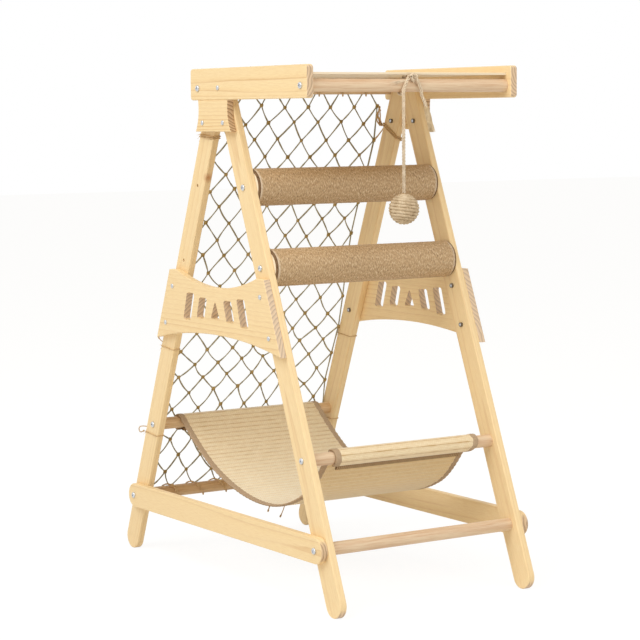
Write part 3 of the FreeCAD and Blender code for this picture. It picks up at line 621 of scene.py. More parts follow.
# %% Ball winding
ball_middle = Vector((-24.0, -342.1, 750.5)) * MM
ball_radius = 30.0 * MM
winding_size = 7.6 * MM
winding_lay = 12 * MM
winding_turns = 13
winding_tilt = Matrix.Rotation(radians(6), 3, "Y")
pole_angle = 5                          # degrees of bare ball round each pole
winding_line = []
for share in shares(winding_turns * 36):
    polar = radians(pole_angle + (180 - 2 * pole_angle) * share)
    turn = 2 * pi * winding_turns * share
    way = Vector((sin(polar) * cos(turn), sin(polar) * sin(turn), cos(polar)))
    winding_line.append(ball_middle + winding_tilt @ way * (ball_radius - winding_size / 2))
winding = twine(winding_line, winding_size, 8, lay=winding_lay)
ball_winding_rope = fit(piece_from("ball_winding_rope", [winding], ball_sisal), "ball_winding", "ball_toy")

# %% Tassel
tassel_top = Vector(tail_line[-1])
tassel_lean = radians(17)
tassel_way = Vector((sin(tassel_lean), 0.0, -cos(tassel_lean)))
tassel_length = 50 * MM
tassel_fibres, tassel_size = 120, 1.3 * MM
golden_turn = 2.4                       # radians from one fibre to the next, which fills the end evenly
fibres = []
for number in range(tassel_fibres):
    turn = golden_turn * number
    out = Vector((cos(turn), sin(turn), 0.0)) * sqrt((number + 0.5) / tassel_fibres)
    length = tassel_length * draw(0.9, 1.0)
    bow = Vector((draw(-1.2, 1.2), draw(-1.2, 1.2), 0.0)) * MM
    line = []
    for along in shares(6):
        width = (3.9 + 1.3 * sin(0.7 * pi * along)) * MM
        line.append(tassel_top + tassel_way * length * along + out * width + bow * sin(5 * along))
    fibres.append(fibre(line, tassel_size, 0.2))
tail_tassel_fibres = fit(piece_from("tail_tassel_fibres", fibres, tassel_sisal), "tail_tassel", "toy_tail")

# %% Cord facts
tuple(ball_line[0])
round(length_of(ball_line), 3)
[tuple(p) for p in ball_line]
tuple(tail_line[0])
round(length_of(tail_line), 3)
[tuple(p) for p in tail_line]

# %% [markdown]
# ## The net
# A knotted net hangs behind the two rear dowels. It is stretched down its length, so its meshes are tall
# diamonds, and between its ties the edges are drawn in. It hangs slacker towards the floor, so there its
# legs bow and its knots wander. Each leg is one thin cord of two yarns, and every crossing is a small
# browner knot. A flat sheet with holes would be quicker, but it would have no cords when seen from the side.

# %% Net places
net_top = Vector((0.0, 57.0, 983.5)) * MM
net_foot = Vector((0.0, 358.95, 122.0)) * MM
net_down = (net_foot - net_top).normalized()
net_out = Vector((1.0, 0.0, 0.0)).cross(net_down)
net_depth = 19.7 * MM
net_belly = 3.0 * MM            # how far its middle swings forward
net_length = (net_foot - net_top).length
net_columns, net_rows = 15, 26
half_mesh = 29.0 * MM
row_gap = net_length / (net_rows - 1)
tight_rows = 9.0 * MM           # how much the first row is drawn down
net_shift = 8.0 * MM            # between its ties the net hangs a little to the right of the middle
tie_reach = 7.0 * MM            # how far the ties pull its edges out to the legs
tie_draw = 12.0 * MM            # and forward
edge_draw = 0.012               # how far an edge is drawn in, of its length between two ties
slack_from, slack_to = 0.55, 1.0
slack_lift = 11.0 * MM          # how far the slack meshes behind the mat are bunched up
tie_heights = (880.0, 450.0, 260.0)     # in mm
# where the net is held, in mm down from its top
anchors = [0.0] + [(net_top.z / MM - height) / -net_down.z for height in tie_heights] + [net_length / MM]


def freedom(s):
    """How free the net's edge is at a distance s mm down from its top, and how far it is then drawn in."""
    for above, below in zip(anchors, anchors[1:]):
        if s <= below:
            free = sin(pi * (s - above) / (below - above)) ** 2
            return free, edge_draw * (below - above) * free * MM
    return 0.0, 0.0


def net_point(column, row):
    """The middle of a knot."""
    share = row / (net_rows - 1)
    s = row * row_gap + (tight_rows * (1 - share) if row else 0.0)
    if slack_from < share < slack_to:
        s -= slack_lift * sin(pi * (share - slack_from) / (slack_to - slack_from)) ** 2
    x = (column - (net_columns - 1) / 2) * half_mesh
    depth = net_depth
    if 0 < row < net_rows - 1:
        side = 2 * column / (net_columns - 1) - 1
        free, drawn = freedom(s / MM)
        tied = (1 - free) * abs(side) ** 3
        x += (tie_reach * tied - drawn) * side + net_shift * (1 - tied)
        depth -= tie_draw * tied
        if abs(side) < 1:
            stray = (2.8 + 2.6 * share) * MM
            x += draw(-stray, stray)
            s += draw(-stray, stray)
            depth -= net_belly * sin(pi * share)
    return net_top + Vector((x, 0, 0)) + net_down * s + net_out * depth


net_knots = {}
for row in range(net_rows):
    for column in range(net_columns):
        if (row + column) % 2:
            net_knots[(column, row)] = net_point(column, row)
print("net knots:", len(net_knots))

# %% Net cords and knots
net_cord_size = 3.6 * MM
border_size = 3.8 * MM
leg_steps = 6


def slack_leg(knot, below):
    """A leg between two knots, which bows down and to one side, more so near the floor."""
    slack = (1.8 + 2.8 * (knot - net_top).dot(net_down) / net_length) * MM
    bow = net_down * draw(0.2, 1.0) * slack
    bow += Vector((draw(-0.7, 0.7) * slack, 0, 0))
    return [knot.lerp(below, share) + bow * sin(pi * share) for share in shares(leg_steps)]


def border(knots):
    """A cord that runs from knot to knot along an edge of the net."""
    legs = [a.lerp(b, i / leg_steps) for a, b in zip(knots, knots[1:]) for i in range(leg_steps)]
    return legs + [knots[-1]]


def knot_lumps(middle, size):
    """Two short fat turns of cord across each other."""
    lumps = []
    for lean in (-1, 1):
        way = (Vector((0.9 * lean, 0, 0)) + net_down).normalized()
        line = [middle + way * (i - 2.5) * 0.22 * size for i in range(6)]
        lumps.append(twine(line, size, size_at=spindle))
    return lumps


net_parts, knot_parts = [], []
for (column, row), knot in net_knots.items():
    knot_parts += knot_lumps(knot, draw(7.4, 9.2) * MM)
    for step in (-1, 1):
        below = net_knots.get((column + step, row + 1))
        if below:
            net_parts.append(twine(slack_leg(knot, below), net_cord_size))
for axis, last in ((0, net_columns - 1), (1, net_rows - 1)):
    for edge in (0, last):
        line = [knot for place, knot in net_knots.items() if place[axis] == edge]
        net_parts.append(twine(border(line), border_size))
rear_net = fit(piece_from("rear_net_cords", net_parts, net_jute), "net")
rear_knots = piece_from("rear_net_knots", knot_parts, knot_jute)
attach(rear_knots, "frame")

# %% [markdown]
# ## Lashings and ties
# A cord wound round each rear dowel goes through the net's end cord at every turn. Along the legs the net
# is tied by a turn or two of the same cord, with a knot and short loose ends. The turns come from a
# formula: a helix, which round a leg is drawn out to the corners of the board.

# %% Lashings
lashing_reach = 174.0 * MM
lashing_turns = 6
lashing_radius = 15.6 * MM
lashing_size = 3.6 * MM
low_end_size, foot_knot_size = 3.0 * MM, 8 * MM
round_steps = 40                # points in one turn of cord


def on_lashing(axis, turns):
    """A point of the cord wound round a dowel, so many turns from its left end."""
    angle = 2 * pi * turns
    return axis + Vector((lashing_reach * (2 * turns / lashing_turns - 1),
                          lashing_radius * cos(angle), lashing_radius * sin(angle)))


def lashing(axis):
    """A cord wound round a dowel from end to end."""
    line = [on_lashing(axis, lashing_turns * share) for share in shares(lashing_turns * round_steps)]
    return twine(line, lashing_size, 7)


def loose_end(points, size):
    """A short free end of cord with a knob where it was knotted against fraying."""
    line = spline_points("loose_end", points, 6)
    tip = [line[-1] + (line[-1] - line[-2]).normalized() * (i - 2.5) * 1.3 * MM for i in range(6)]
    return [twine(line, size), twine(tip, 1.9 * size, size_at=spindle)]


foot_y, foot_z = net_foot.y / MM, net_foot.z / MM
low_ends = [
    [(102, foot_y, foot_z - 15.5), (102, foot_y, 90), (99, foot_y, 66), (93, foot_y, 52)],
    [(139, foot_y, foot_z - 15.5), (140, foot_y, 82), (136, foot_y, 54), (125, foot_y, 36)]]
foot_knots = (0.34, 0.46, 1.42, 2.38)   # where the lower lashing is knotted, in turns
foot_parts = [lashing(net_foot)]
for end in low_ends:
    foot_parts += loose_end(end, low_end_size)
for turns in foot_knots:
    foot_parts += knot_lumps(on_lashing(net_foot, turns), foot_knot_size)
for node, parts in (("net_top_lashing", [lashing(net_top)]), ("net_bottom_lashing", foot_parts)):
    fit(piece_from(f"{node}_cord", parts, tie_jute), node)

# %% Ties round the rear legs
leg_width, leg_thickness = 50.0 * MM, 15.0 * MM
apex_height = 1015.0 * MM
lean = radians(leg_lean)
leg_up = Vector((0.0, -sin(lean), cos(lean)))
leg_across = Vector((0.0, cos(lean), sin(lean)))
tie_gap = 0.3 * MM
tie_pitch = 4.2 * MM
link_size, link_sag = 2.8 * MM, Vector((0, 0, -2 * MM))
stray_fibres, stray_size, stray_fall = 10, 0.9 * MM, Vector((0, 0, -3 * MM))
tie_knot_size = 10 * MM
flat_slant = -0.28              # turns that lie flatter than square to the leaning leg
steep_slant = 0.16              # turns that lie steeper
top_lift = 8.0 * MM             # the top ties are drawn up against the apex plates
inner_lift = 9.0 * MM           # how much higher the right top tie lies on the leg's inner side
left_top_size, right_top_size, low_size = 3.0 * MM, 3.8 * MM, 2.2 * MM


def squared(c):
    """A cosine or sine that is drawn out to the corners of a board."""
    return copysign(abs(c) ** 0.25, c)


def tie(hand, height, slant, turns, tie_size, rise_inside=0.0):
    """Turns of cord round a rear leg, with a knot and stray fibres at the back and two links to the net."""
    middle = Vector((hand * leg_middle_x * MM, (apex_height - height) * tan(lean), height))
    half_x = leg_thickness / 2 + tie_gap + tie_size / 2
    half_y = leg_width / 2 + tie_gap + tie_size / 2
    line = []
    for step in range(turns * round_steps + 1):
        turn = 2 * pi * step / round_steps
        x = half_x * squared(cos(turn))
        y = half_y * squared(sin(turn))
        rise = (step / round_steps - turns / 2) * tie_pitch + slant * y
        rise += rise_inside * (1 - hand * x / half_x) / 2
        line.append(middle + Vector((x, 0, 0)) + leg_across * y + leg_up * rise)
    back = middle + leg_across * (half_y + 1.5 * MM) + leg_up * (slant * half_y + rise_inside / 2)
    parts = [twine(line, tie_size, 7), *knot_lumps(back, tie_knot_size)]
    nearest = min((knot for (column, row), knot in net_knots.items() if column in (0, net_columns - 1)),
                  key=lambda knot: (knot - back).length)
    for lift in (-1.5, 1.5):
        far = nearest + net_down * lift * MM
        link = [back.lerp(far, share) + link_sag * sin(pi * share) for share in shares(8)]
        parts.append(twine(link, link_size))
    for _ in range(stray_fibres):
        way = Vector((hand * draw(-0.3, 0.9), draw(0.3, 1.0), draw(-1.0, 0.3)))
        reach = draw(7, 14) * MM
        line = [back + way.normalized() * reach * share + stray_fall * share ** 2 for share in shares(4)]
        parts.append(fibre(line, stray_size, 0.6))
    return parts


# thickness and route of each loose end, in mm
tie_ends = {
    "left": [(2.6, [(-222, 331, 272), (-229, 340, 273), (-232, 350, 270), (-231, 354, 262),
                    (-229, 348, 257), (-227, 340, 262)]),
             (2.2, [(-222, 254, 459), (-229, 257, 464), (-232, 256, 469)])],
    "right": [(3.6, [(213, 78, 905), (207, 82, 917), (205, 80, 932), (206, 76, 944)]),
              (3.4, [(216, 78, 905), (210, 80, 916), (209, 77, 926), (207, 76, 938)]),
              (3.2, [(211, 80, 905), (204, 84, 914), (204, 82, 924), (203, 79, 932)]),
              (2.2, [(213, 78, 905), (206, 86, 914), (208, 92, 928), (215, 88, 924), (211, 84, 912)])],
}
top_ties = {"left": (flat_slant, 2, left_top_size), "right": (steep_slant, 2, right_top_size, inner_lift)}
top, *lower = (height * MM for height in tie_heights)
for side, hand in (("left", -1), ("right", 1)):
    parts = tie(hand, top + top_lift, *top_ties[side])
    for height in lower:
        parts += tie(hand, height, flat_slant, 1, low_size)
    for size, end in tie_ends[side]:
        parts += loose_end(end, size * MM)
    fit(piece_from(f"{side}_net_ties_cord", parts, tie_jute), f"{side}_net_ties")

# %% [markdown]
# ## The slung mat
# A ribbed straw mat goes round the two hammock dowels and sags between them. Its long edges are bound with
# brown tape, and a coarser tape hems each end under its dowel; that tape is darker, partly its own brown and
# partly painted shade. The mat is one strip carried along its sagging line, with its ribs and the dimples
# between its stitches as real relief on both sides.
# A cloth simulation could find the sag as well, but the line is known here and keeps every rib in its place.
# Painted shade darkens the valleys between the ribs and the mat towards its steep ends, and fades in the low
# bay and on the sagging underside, which gets a warm painted shade of its own.

# %% Woven mat material
rib_gap = 12.3 * MM
stitch_width = 5.1 * MM
straw_length, straw_width = 16.0 * MM, 0.7 * MM
shade_patch_size = 28.0 * MM           # patches in which the valleys are fuller or emptier
tooth_gap = 2.6 * MM            # spacing of the thread ends that make a valley ragged
# bay_middle and bay_reach place the low bay, where the painted shade in the valleys fades
bay_middle = 430.0 * MM         # the lowest place, measured along the mat, where its valleys are flattened
bay_reach = (60.0 * MM, 330.0 * MM)
front_wrap_at = 708.0 * MM      # where the mat meets the front dowel
yarn_size = 1.1 * MM
straw_depth = 0.5 * MM          # depth of the relief of the straws


def woven_straw():
    """Straw ribs across the mat with rows of stitches; the UV map runs across and along in metres."""
    material, tree = new_material("woven_straw")
    thread = add(tree, "UVMap", uv_map="Thread")
    straws = add(tree, "Mapping", {"Vector": thread, "Scale": (1 / straw_length, 1 / straw_width, 1.0)})
    grain = add(tree, "TexNoise", {"Vector": straws, "Scale": 1.0, "Detail": 3.0, "Roughness": 0.65})
    stitches = add(tree, "TexBrick", {
        "Vector": thread, "Scale": 1.0, "Brick Width": stitch_width, "Row Height": rib_gap / 4,
        "Mortar Size": 0.4 * MM, "Mortar Smooth": 0.8, "Bias": 0.0,
        "Color1": "#FFF6DE", "Color2": "#F8EACC", "Mortar": "#E2CFA8"})
    straw = add(tree, "ValToRGB", {"Fac": grain}, [(0.3, "#E8D8BC"), (0.6, "#FFFFFF")])
    yarn = add(tree, "Mix", {"Factor": 0.6, "A": stitches, "B": straw}, **TINT)
    # painted shade in the ragged valleys between the ribs
    ribs = add(tree, "TexWave", {
        "Vector": thread, "Scale": RING_PERIOD / rib_gap, "Phase Offset": pi}, bands_direction="Y")
    teeth = add(tree, "TexWave", {"Vector": thread, "Scale": RING_PERIOD / tooth_gap}, bands_direction="X")
    jagged = add(tree, "Math", {0: teeth.outputs["Fac"], 1: 0.12, 2: ribs.outputs["Fac"]},
                 operation="MULTIPLY_ADD")
    valley = add(tree, "ValToRGB", {"Fac": jagged}, [
        (0.04, "#BE9A62"), (0.12, "#DCC294"), (0.26, "#FFFFFF")])
    # how much the painted valley shade shows: less in random patches, in the bay and on the sagging underside
    patches = add(tree, "TexNoise", {"Vector": thread, "Scale": 1 / shade_patch_size})
    uneven_shade = add(tree, "MapRange", {
        "Value": patches, "From Min": 0.35, "From Max": 0.65, "To Min": 0.25, "To Max": 0.8})
    along = add(tree, "SeparateXYZ", {"Vector": thread}).outputs["Y"]
    from_middle = add(tree, "Math", {0: along, 1: bay_middle}, operation="SUBTRACT")
    away = add(tree, "Math", {0: from_middle}, operation="ABSOLUTE")
    steep_shade = add(tree, "MapRange", {
        "Value": away, "From Min": bay_reach[0], "From Max": bay_reach[1], "To Min": 0.25})
    normal = add(tree, "TexCoord").outputs["Normal"]
    upward = add(tree, "SeparateXYZ", {"Vector": normal}).outputs["Z"]
    down = add(tree, "MapRange", {"Value": upward, "From Min": -0.05, "From Max": -0.25})
    sagging = add(tree, "MapRange", {
        "Value": along, "From Min": front_wrap_at, "From Max": front_wrap_at - 8 * MM})
    under = add(tree, "Math", {0: down, 1: sagging}, operation="MULTIPLY")
    plain = add(tree, "MapRange", {"Value": under, "To Min": 1.0, "To Max": 0.2})
    kept = add(tree, "Math", {0: uneven_shade, 1: steep_shade}, operation="MULTIPLY")
    shown = add(tree, "Math", {0: kept, 1: plain}, operation="MULTIPLY")
    ribbed = add(tree, "Mix", {"Factor": shown, "A": yarn, "B": valley}, **TINT)
    # painted shade: the mat is darker towards its steep ends, away from the bay
    steep_shaded = add(tree, "Mix", {"Factor": steep_shade, "A": ribbed, "B": "#F6EEE2"}, **TINT)
    # painted warm shade: the sagging underside is tinted darker and warmer
    colour = add(tree, "Mix", {"Factor": under, "A": steep_shaded, "B": "#F8ECD2"}, **TINT)
    return finished(
        material, {"Base Color": colour, "Roughness": 0.6, "Specular IOR Level": 0.5, "Sheen Weight": 0.5},
        grain, 0.4, straw_depth)


def woven_tape(name, tape_rib, pale, middle, dark):
    """Cotton tape with cross ribs and a few paler threads."""
    material, tree = new_material(name)
    thread = add(tree, "UVMap", uv_map="Thread")
    ribs = add(tree, "TexWave", {
        "Vector": thread, "Scale": RING_PERIOD / tape_rib, "Distortion": 0.5}, bands_direction="Y")
    yarns = add(tree, "TexNoise", {
        "Vector": thread, "Scale": 1 / yarn_size, "Detail": 3.0, "Roughness": 0.7})
    mixed = add(tree, "Mix", {"Factor": 0.6, "A": ribs.outputs["Fac"], "B": yarns})
    colour = add(tree, "ValToRGB", {"Fac": mixed}, [(0.25, dark), (0.52, middle), (0.78, pale)])
    return finished(material, {"Base Color": colour, "Roughness": 0.85, "Specular IOR Level": 0.2},
                    mixed, 0.5, fibre_depth)


straw_mat = woven_straw()
cotton_tape = woven_tape("brown_cotton_tape", 2.0 * MM, "#DAC4A6", "#B89C7E", "#8A7058")
# the hem tape is a darker copy of the tape: partly its own brown, partly painted shade under the dowels
hem_tape = woven_tape("brown_hem_tape_painted_shade", 4.4 * MM, "#CEB48E", "#A0815C", "#684E34")
print("mat materials ready")

# %% Mat line
dowel_y, dowel_z = 295.04, 281.0        # middle of the rear hammock dowel, in mm
wrap = 15.3                             # radius of the mat's middle line round a dowel, in mm
wrap_end = -88                          # angle in degrees at which the mat ends under a dowel


def on_dowel(hand, angle):
    """A point of the mat's middle line on a dowel, in mm; the angle runs up from the dowel's outer side."""
    turn = radians(angle)
    return (0.0, hand * (dowel_y + wrap * cos(turn)), dowel_z + wrap * sin(turn))


rear_angle, front_angle = 130, 145
rear_leave, front_leave = on_dowel(1, rear_angle), on_dowel(-1, front_angle)
rear_slope, front_slope = radians(40), radians(55)
rear_run, front_run = 115, 95           # straight mat from each dowel down to the first bend
sag_route = [
    rear_leave,
    (0.0, rear_leave[1] - rear_run * cos(rear_slope), rear_leave[2] - rear_run * sin(rear_slope)),
    (0.0, 70.0, 168.0), (0.0, -45.0, 151.0), (0.0, -140.0, 166.0),
    (0.0, front_leave[1] + front_run * cos(front_slope),
     front_leave[2] - front_run * sin(front_slope)),
    front_leave]
rear_wrap = [Vector(on_dowel(1, angle)) * MM for angle in range(wrap_end, rear_angle - 2, 4)]
front_wrap = [Vector(on_dowel(-1, angle)) * MM for angle in range(front_angle - 3, wrap_end - 1, -4)]
rough_line = rear_wrap + spline_points("mat_sag", sag_route, 40) + front_wrap
mat_length = length_of(rough_line)
rib_steps = 5
mat_ribs = round(mat_length / rib_gap)
mat_step = mat_length / (mat_ribs * rib_steps)
mat_line = [rough_line[0]]
travelled = 0.0
for a, b in zip(rough_line, rough_line[1:]):
    reach = (b - a).length
    while len(mat_line) * mat_step <= travelled + reach + 1e-9:
        mat_line.append(a.lerp(b, (len(mat_line) * mat_step - travelled) / reach))
    travelled += reach
across = Vector((1.0, 0.0, 0.0))
stations = []
for index, point in enumerate(mat_line):
    before, after = mat_line[max(index - 1, 0)], mat_line[min(index + 1, len(mat_line) - 1)]
    stations.append((point, across, (after - before).normalized().cross(across)))
print(f"mat {mat_length:.4f} m along its line, {mat_ribs} ribs, {len(stations)} stations")

# %% Mat
mat_half, mat_thick = 166.0 * MM, 3.0 * MM
corner_round = 30.0 * MM        # the front sleeve's right corner is turned in to this radius
mat_shift = 6.5 * MM            # the mat lies a little to the right
front_narrowing = 0.05          # and is narrower at its front end by this share
rib_height = 1.5 * MM
mat_stitches = 64


def lay_across(x, along):
    """Where a place across the mat lies, with the right front corner turned in."""
    left = max(corner_round - (mat_length - along), 0.0)
    trim = corner_round - sqrt(max(corner_round ** 2 - left ** 2, 0.0))
    narrow = 1 - front_narrowing * along / mat_length
    return mat_shift + narrow * x - trim * min(max(x / mat_half, 0.0), 1.0) ** 4


def mat_section(index, along):
    """Ribbed top and underside, dimpled between the stitches and closed at the two long edges."""
    rib = sin(pi * (index % rib_steps) / rib_steps) ** 0.6
    shift = (index // rib_steps) % 2
    corners = []
    for side in (1, -1):
        for column in range(2 * mat_stitches + 1):
            x = lay_across(side * mat_half * (1 - column / mat_stitches), along)
            dimple = 1.0 if (column + shift) % 2 else 0.72
            corners.append((x, side * (mat_thick / 2 + rib_height * (rib * dimple - 0.65))))
    return corners


hammock_mat = fit(piece_from("hammock_mat_weave", [strip(stations, mat_section)], straw_mat), "hammock_mat")

# %% Bindings and hems
binding_middle = 169.5 * MM
binding_width, binding_thick = 14.5 * MM, 5.0 * MM
hem_ends = {1: (-159.0, 169.0), -1: (-150.0, 140.0)}        # rear and front, across the mat in mm
hem_width = 12.0 * MM
hem_falls = {1: radians(6), -1: radians(58)}      # how steeply each hem hangs in and down
hem_bead = 3.6 * MM
hem_steps = 392
tape_corners = 14


def tape_section(edge, width, bead, swell_by):
    """A folded tape: a flat oval round a place across the mat, which swells at each rib or bead."""
    def corners_at(index, along):
        swell = 1.0 - swell_by + swell_by * abs(sin(pi * along / bead))
        middle = lay_across(edge, along) if edge else 0.0
        corners = []
        for corner in range(tape_corners):
            turn = 2 * pi * corner / tape_corners
            c, s = (copysign(abs(v) ** 0.6, v) for v in (cos(turn), sin(turn)))
            corners.append((middle + width / 2 * c * (0.5 + 0.5 * swell), binding_thick / 2 * s * swell))
        return corners
    return corners_at


for side, hand in (("left", -1), ("right", 1)):
    section = tape_section(hand * binding_middle, binding_width, mat_length / mat_ribs, 0.3)
    tape = piece_from(f"{side}_binding_tape", [strip(stations, section)], cotton_tape)
    fit(tape, f"hammock_{side}_binding")
hem_parts = []
for hand, (first, last) in hem_ends.items():
    fall = Vector((0.0, -hand * cos(hem_falls[hand]), -sin(hem_falls[hand])))
    middle = Vector(on_dowel(hand, wrap_end)) * MM + fall * (hem_width / 2 - 1 * MM)
    hem_stations = [(middle + across * (first + (last - first) * share) * MM, -fall, across.cross(-fall))
                    for share in shares(hem_steps)]
    hem_parts.append(strip(hem_stations, tape_section(0.0, hem_width, hem_bead, 0.16)))
hems = fit(piece_from("mat_hem_tape", hem_parts, hem_tape), "hammock_end_hems")

# %% [markdown]
# ## Sisal cloth on the posts
# Each post wears a sleeve of coarse sisal cloth, whose short ends of fibre stand up as small flecks. The
# sleeve is an open cylinder, cut into a fine grid. Its rims are turned in and joined by an inner skin. A
# bump would leave its outline smooth, so a fine noise then lifts the outer face itself. Its cut edges are
# paler, where loose fibres catch the light.

# %% Sisal cloth material
fleck_length, fleck_width = 5.6 * MM, 2.1 * MM
fleck_leans = (28, -24)         # degrees, for the two layers of flecks
cover_reach = 208.5 * MM
rim_width = 5.5 * MM
fleck_depth = 1.0 * MM


def sisal_cloth():
    """Speckled sisal: short leaning flecks, each of its own tint, with painted shade in the small gaps
    between them.
    """
    material, tree = new_material("sisal_cloth")
    thread = add(tree, "UVMap", uv_map="Thread")
    layers = []
    for fleck_lean in fleck_leans:
        leaning = add(tree, "Mapping", {
            "Vector": thread, "Rotation": (0.0, 0.0, radians(fleck_lean)),
            "Scale": (1 / fleck_width, 1 / fleck_length, 1.0)})
        layers.append(add(tree, "TexNoise", {"Vector": leaning, "Scale": 1.0, "Roughness": 0.6}))
    mixed = add(tree, "Mix", {"Factor": 0.5, "A": layers[0], "B": layers[1]})
    # the low places of the noise, the gaps between flecks, get the darkest colour: painted shade
    flecks = add(tree, "ValToRGB", {"Fac": mixed}, [
        (0.35, "#7E6342"), (0.43, "#AD8D66"), (0.53, "#C2A27A"), (0.64, "#DECAA8")])
    along = add(tree, "SeparateXYZ", {"Vector": thread}).outputs["X"]
    reach = add(tree, "Math", {0: along}, operation="ABSOLUTE")
    rim = add(tree, "MapRange", {
        "Value": reach, "From Min": cover_reach - rim_width, "From Max": cover_reach, "To Max": 0.6})
    colour = add(tree, "Mix", {"Factor": rim, "A": flecks, "B": "#EAD8C0"}, **BLEND)
    return finished(material, {"Base Color": colour, "Roughness": 0.62, "Specular IOR Level": 0.5},
                    mixed, 0.7, fleck_depth)


cloth = sisal_cloth()
print("sisal cloth ready")

# %% Sleeves
cover_outer, cover_inner = 36.4 * MM, 35.2 * MM
outer_from = cover_outer - 0.1 * MM     # points further out than this belong to the outer face
cover_sides, cover_cuts = 168, 300
fuzz = bpy.data.textures.new("sisal_fuzz", "CLOUDS")
fuzz.noise_scale = 2.4 * MM
fuzz_height = 1.3 * MM


def sisal_sleeve(name, axis):
    """A sleeve round a post: a gridded cylinder with turned-in rims, an inner skin and a fuzzy face."""
    bpy.ops.object.select_all(action="DESELECT")
    bpy.ops.mesh.primitive_cylinder_add(
        vertices=cover_sides, radius=cover_outer, depth=2 * cover_reach, end_fill_type="NOTHING",
        location=axis, rotation=(0.0, pi / 2, 0.0))
    sleeve = bpy.context.object
    sleeve.name = name
    bpy.ops.object.transform_apply(location=True, rotation=True, scale=True)
    mesh = sleeve.data
    bpy.ops.object.mode_set(mode="EDIT")
    bpy.ops.mesh.select_mode(type="EDGE")
    bpy.ops.mesh.select_all(action="SELECT")
    bpy.ops.mesh.region_to_loop()
    bpy.ops.mesh.extrude_region_move()
    inward = cover_inner / cover_outer
    bpy.ops.transform.resize(value=(1.0, inward, inward), center_override=axis)
    bpy.ops.mesh.bridge_edge_loops()
    bpy.ops.mesh.select_all(action="DESELECT")
    bpy.ops.object.mode_set(mode="OBJECT")
    for edge in mesh.edges:
        a, b = (mesh.vertices[i].co - axis for i in edge.vertices)
        edge.select = abs(a.x - b.x) > cover_reach and min(a.yz.length, b.yz.length) > outer_from
    bpy.ops.object.mode_set(mode="EDIT")
    bpy.ops.mesh.subdivide(number_cuts=cover_cuts)
    bpy.ops.mesh.select_all(action="SELECT")
    bpy.ops.mesh.normals_make_consistent(inside=False)
    bpy.ops.object.mode_set(mode="OBJECT")
    face = sleeve.vertex_groups.new(name="outer_face")
    face.add([v.index for v in mesh.vertices if (v.co - axis).yz.length > outer_from], 1.0, "REPLACE")
    lifted = sleeve.modifiers.new("fuzz", "DISPLACE")
    lifted.texture = fuzz
    lifted.texture_coords = "LOCAL"
    lifted.strength = fuzz_height
    lifted.vertex_group = face.name
    bpy.ops.object.modifier_apply(modifier=lifted.name)
    bpy.ops.object.shade_smooth()
    return sleeve


def unroll(sleeve, axis):
    """A UV map of a sleeve in metres: along the post, and round it from a seam at the back."""
    layer = sleeve.data.uv_layers[0]
    layer.name = "Thread"
    for polygon in sleeve.data.polygons:
        middle = polygon.center - axis
        facing = atan2(middle.z, -middle.y)
        for loop in polygon.loop_indices:
            place = sleeve.data.vertices[sleeve.data.loops[loop].vertex_index].co - axis
            turn = facing + remainder(atan2(place.z, -place.y) - facing, 2 * pi)
            layer.data[loop].uv = (place.x, turn * cover_outer)


for post, place in (("upper_post", (0.0, -90.4, 790.0)), ("lower_post", (0.0, -152.1, 636.5))):
    post_axis = Vector(place) * MM
    sleeve = sisal_sleeve(f"{post}_cover_cloth", post_axis)
    unroll(sleeve, post_axis)
    sleeve.data.materials.append(cloth)
    fit(sleeve, f"{post}_cover")
    print(f"{sleeve.name}: {len(sleeve.data.polygons)} faces")

# %% [markdown]
# ## The slots of the modelled pieces
# A table lists the modelled pieces under the slot of the node each stands for; nothing is done with it.

# %% Slots
slots = {
    "net_cord": ["rear_net_cords", "rear_net_knots", "net_top_lashing_cord", "net_bottom_lashing_cord",
                 "left_net_ties_cord", "right_net_ties_cord"],
    "sisal_rope": ["toy_rope", "tail_rope", "toy_loop_rope", "toy_knot_rope", "ball_winding_rope",
                   "tail_tassel_fibres"],
    "woven_mat": ["hammock_mat_weave"],
    "binding_tape": ["left_binding_tape", "right_binding_tape", "mat_hem_tape"],
    "sisal_cloth": ["upper_post_cover_cloth", "lower_post_cover_cloth"],
}
for slot, names in slots.items():
    for name in names:
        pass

# %% [markdown]
# ## Studio
# A white sweep with one soft lamp above on the left, and a weaker one above in front. The sky fills the
# shadows evenly with slightly warm light. The floor is partly lit from itself for the camera, so it reads
# as the same white as the sky and still keeps the shadow.

# %% Floor, lights and sky
WHITE = "#FFFFFF"
floor_drop = -0.5 * MM
floor_glow, glow_share = 1.1, 0.8
fill_strength = 0.56
fill_colour = (1.0, 0.945, 0.83, 1.0)
lamp_target = Vector((0.0, 0.0, 0.5))

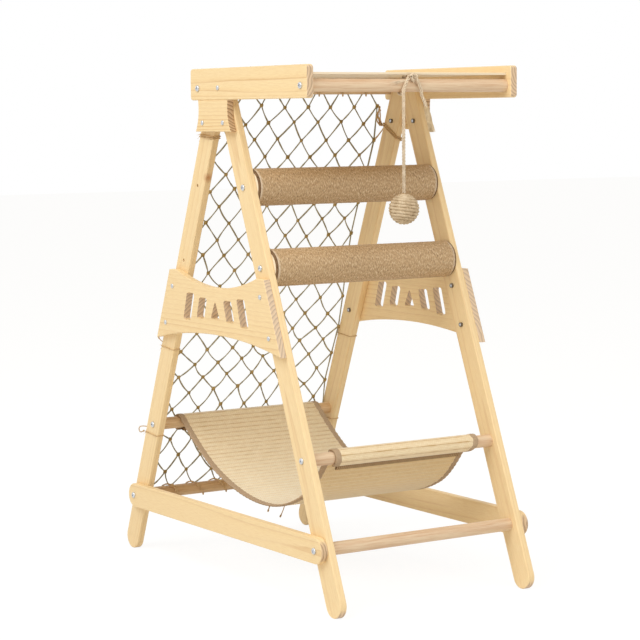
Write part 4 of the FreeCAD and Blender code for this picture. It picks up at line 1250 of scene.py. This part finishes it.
bpy.ops.mesh.primitive_plane_add(size=40, location=(0, 0, floor_drop))
floor = bpy.context.object
floor.name = "studio_floor"
floor_white, tree = new_material("white_studio_floor")
paint = add(tree, "BsdfPrincipled", {
    "Base Color": (0.9, 0.9, 0.9, 1.0), "Roughness": 0.9, "Specular IOR Level": 0.0})
glow = add(tree, "Emission", {"Color": WHITE, "Strength": floor_glow})
seen = add(tree, "LightPath").outputs
mirrored = add(tree, "Math", {0: seen["Is Glossy Ray"], 1: seen["Is Transmission Ray"]},
               operation="MAXIMUM")
straight = add(tree, "Math", {0: seen["Is Camera Ray"], 1: mirrored}, operation="MAXIMUM")
lit = add(tree, "Math", {0: straight, 1: glow_share}, operation="MULTIPLY")
both = add(tree, "MixShader", {0: lit, 1: paint, 2: glow})
add(tree, "OutputMaterial", {"Surface": both})
floor.data.materials.append(floor_white)


def lamp(name, place, size, energy, colour):
    """A square soft lamp that looks at the middle of the frame."""
    data = bpy.data.lights.new(name, "AREA")
    data.size = size
    data.energy = energy
    data.color = colour
    lamp_object = bpy.data.objects.new(name, data)
    bpy.context.scene.collection.objects.link(lamp_object)
    lamp_object.location = place
    lamp_object.rotation_euler = (lamp_target - Vector(place)).to_track_quat("-Z", "Y").to_euler()


lamp("key_light", (-3.4, -1.0, 4.1), 3.4, 130.0, (0.985, 0.992, 1.0))
lamp("front_light", (0.2, -3.2, 3.0), 2.4, 42.0, (0.98, 0.99, 1.0))

world = bpy.data.worlds.new("white_studio")
world.use_nodes = True
tree = world.node_tree
tree.nodes.clear()
diffuse = add(tree, "LightPath").outputs["Is Diffuse Ray"]
sky = add(tree, "Mix", {"Factor": diffuse, "A": WHITE, "B": fill_colour}, **BLEND)
strength = add(tree, "MapRange", {"Value": diffuse, "To Min": 1.0, "To Max": fill_strength})
backdrop = add(tree, "Background", {"Color": sky, "Strength": strength})
add(tree, "OutputWorld", {"Surface": backdrop})
bpy.context.scene.world = world
bpy.context.scene.view_settings.view_transform = "Standard"
print("studio ready")
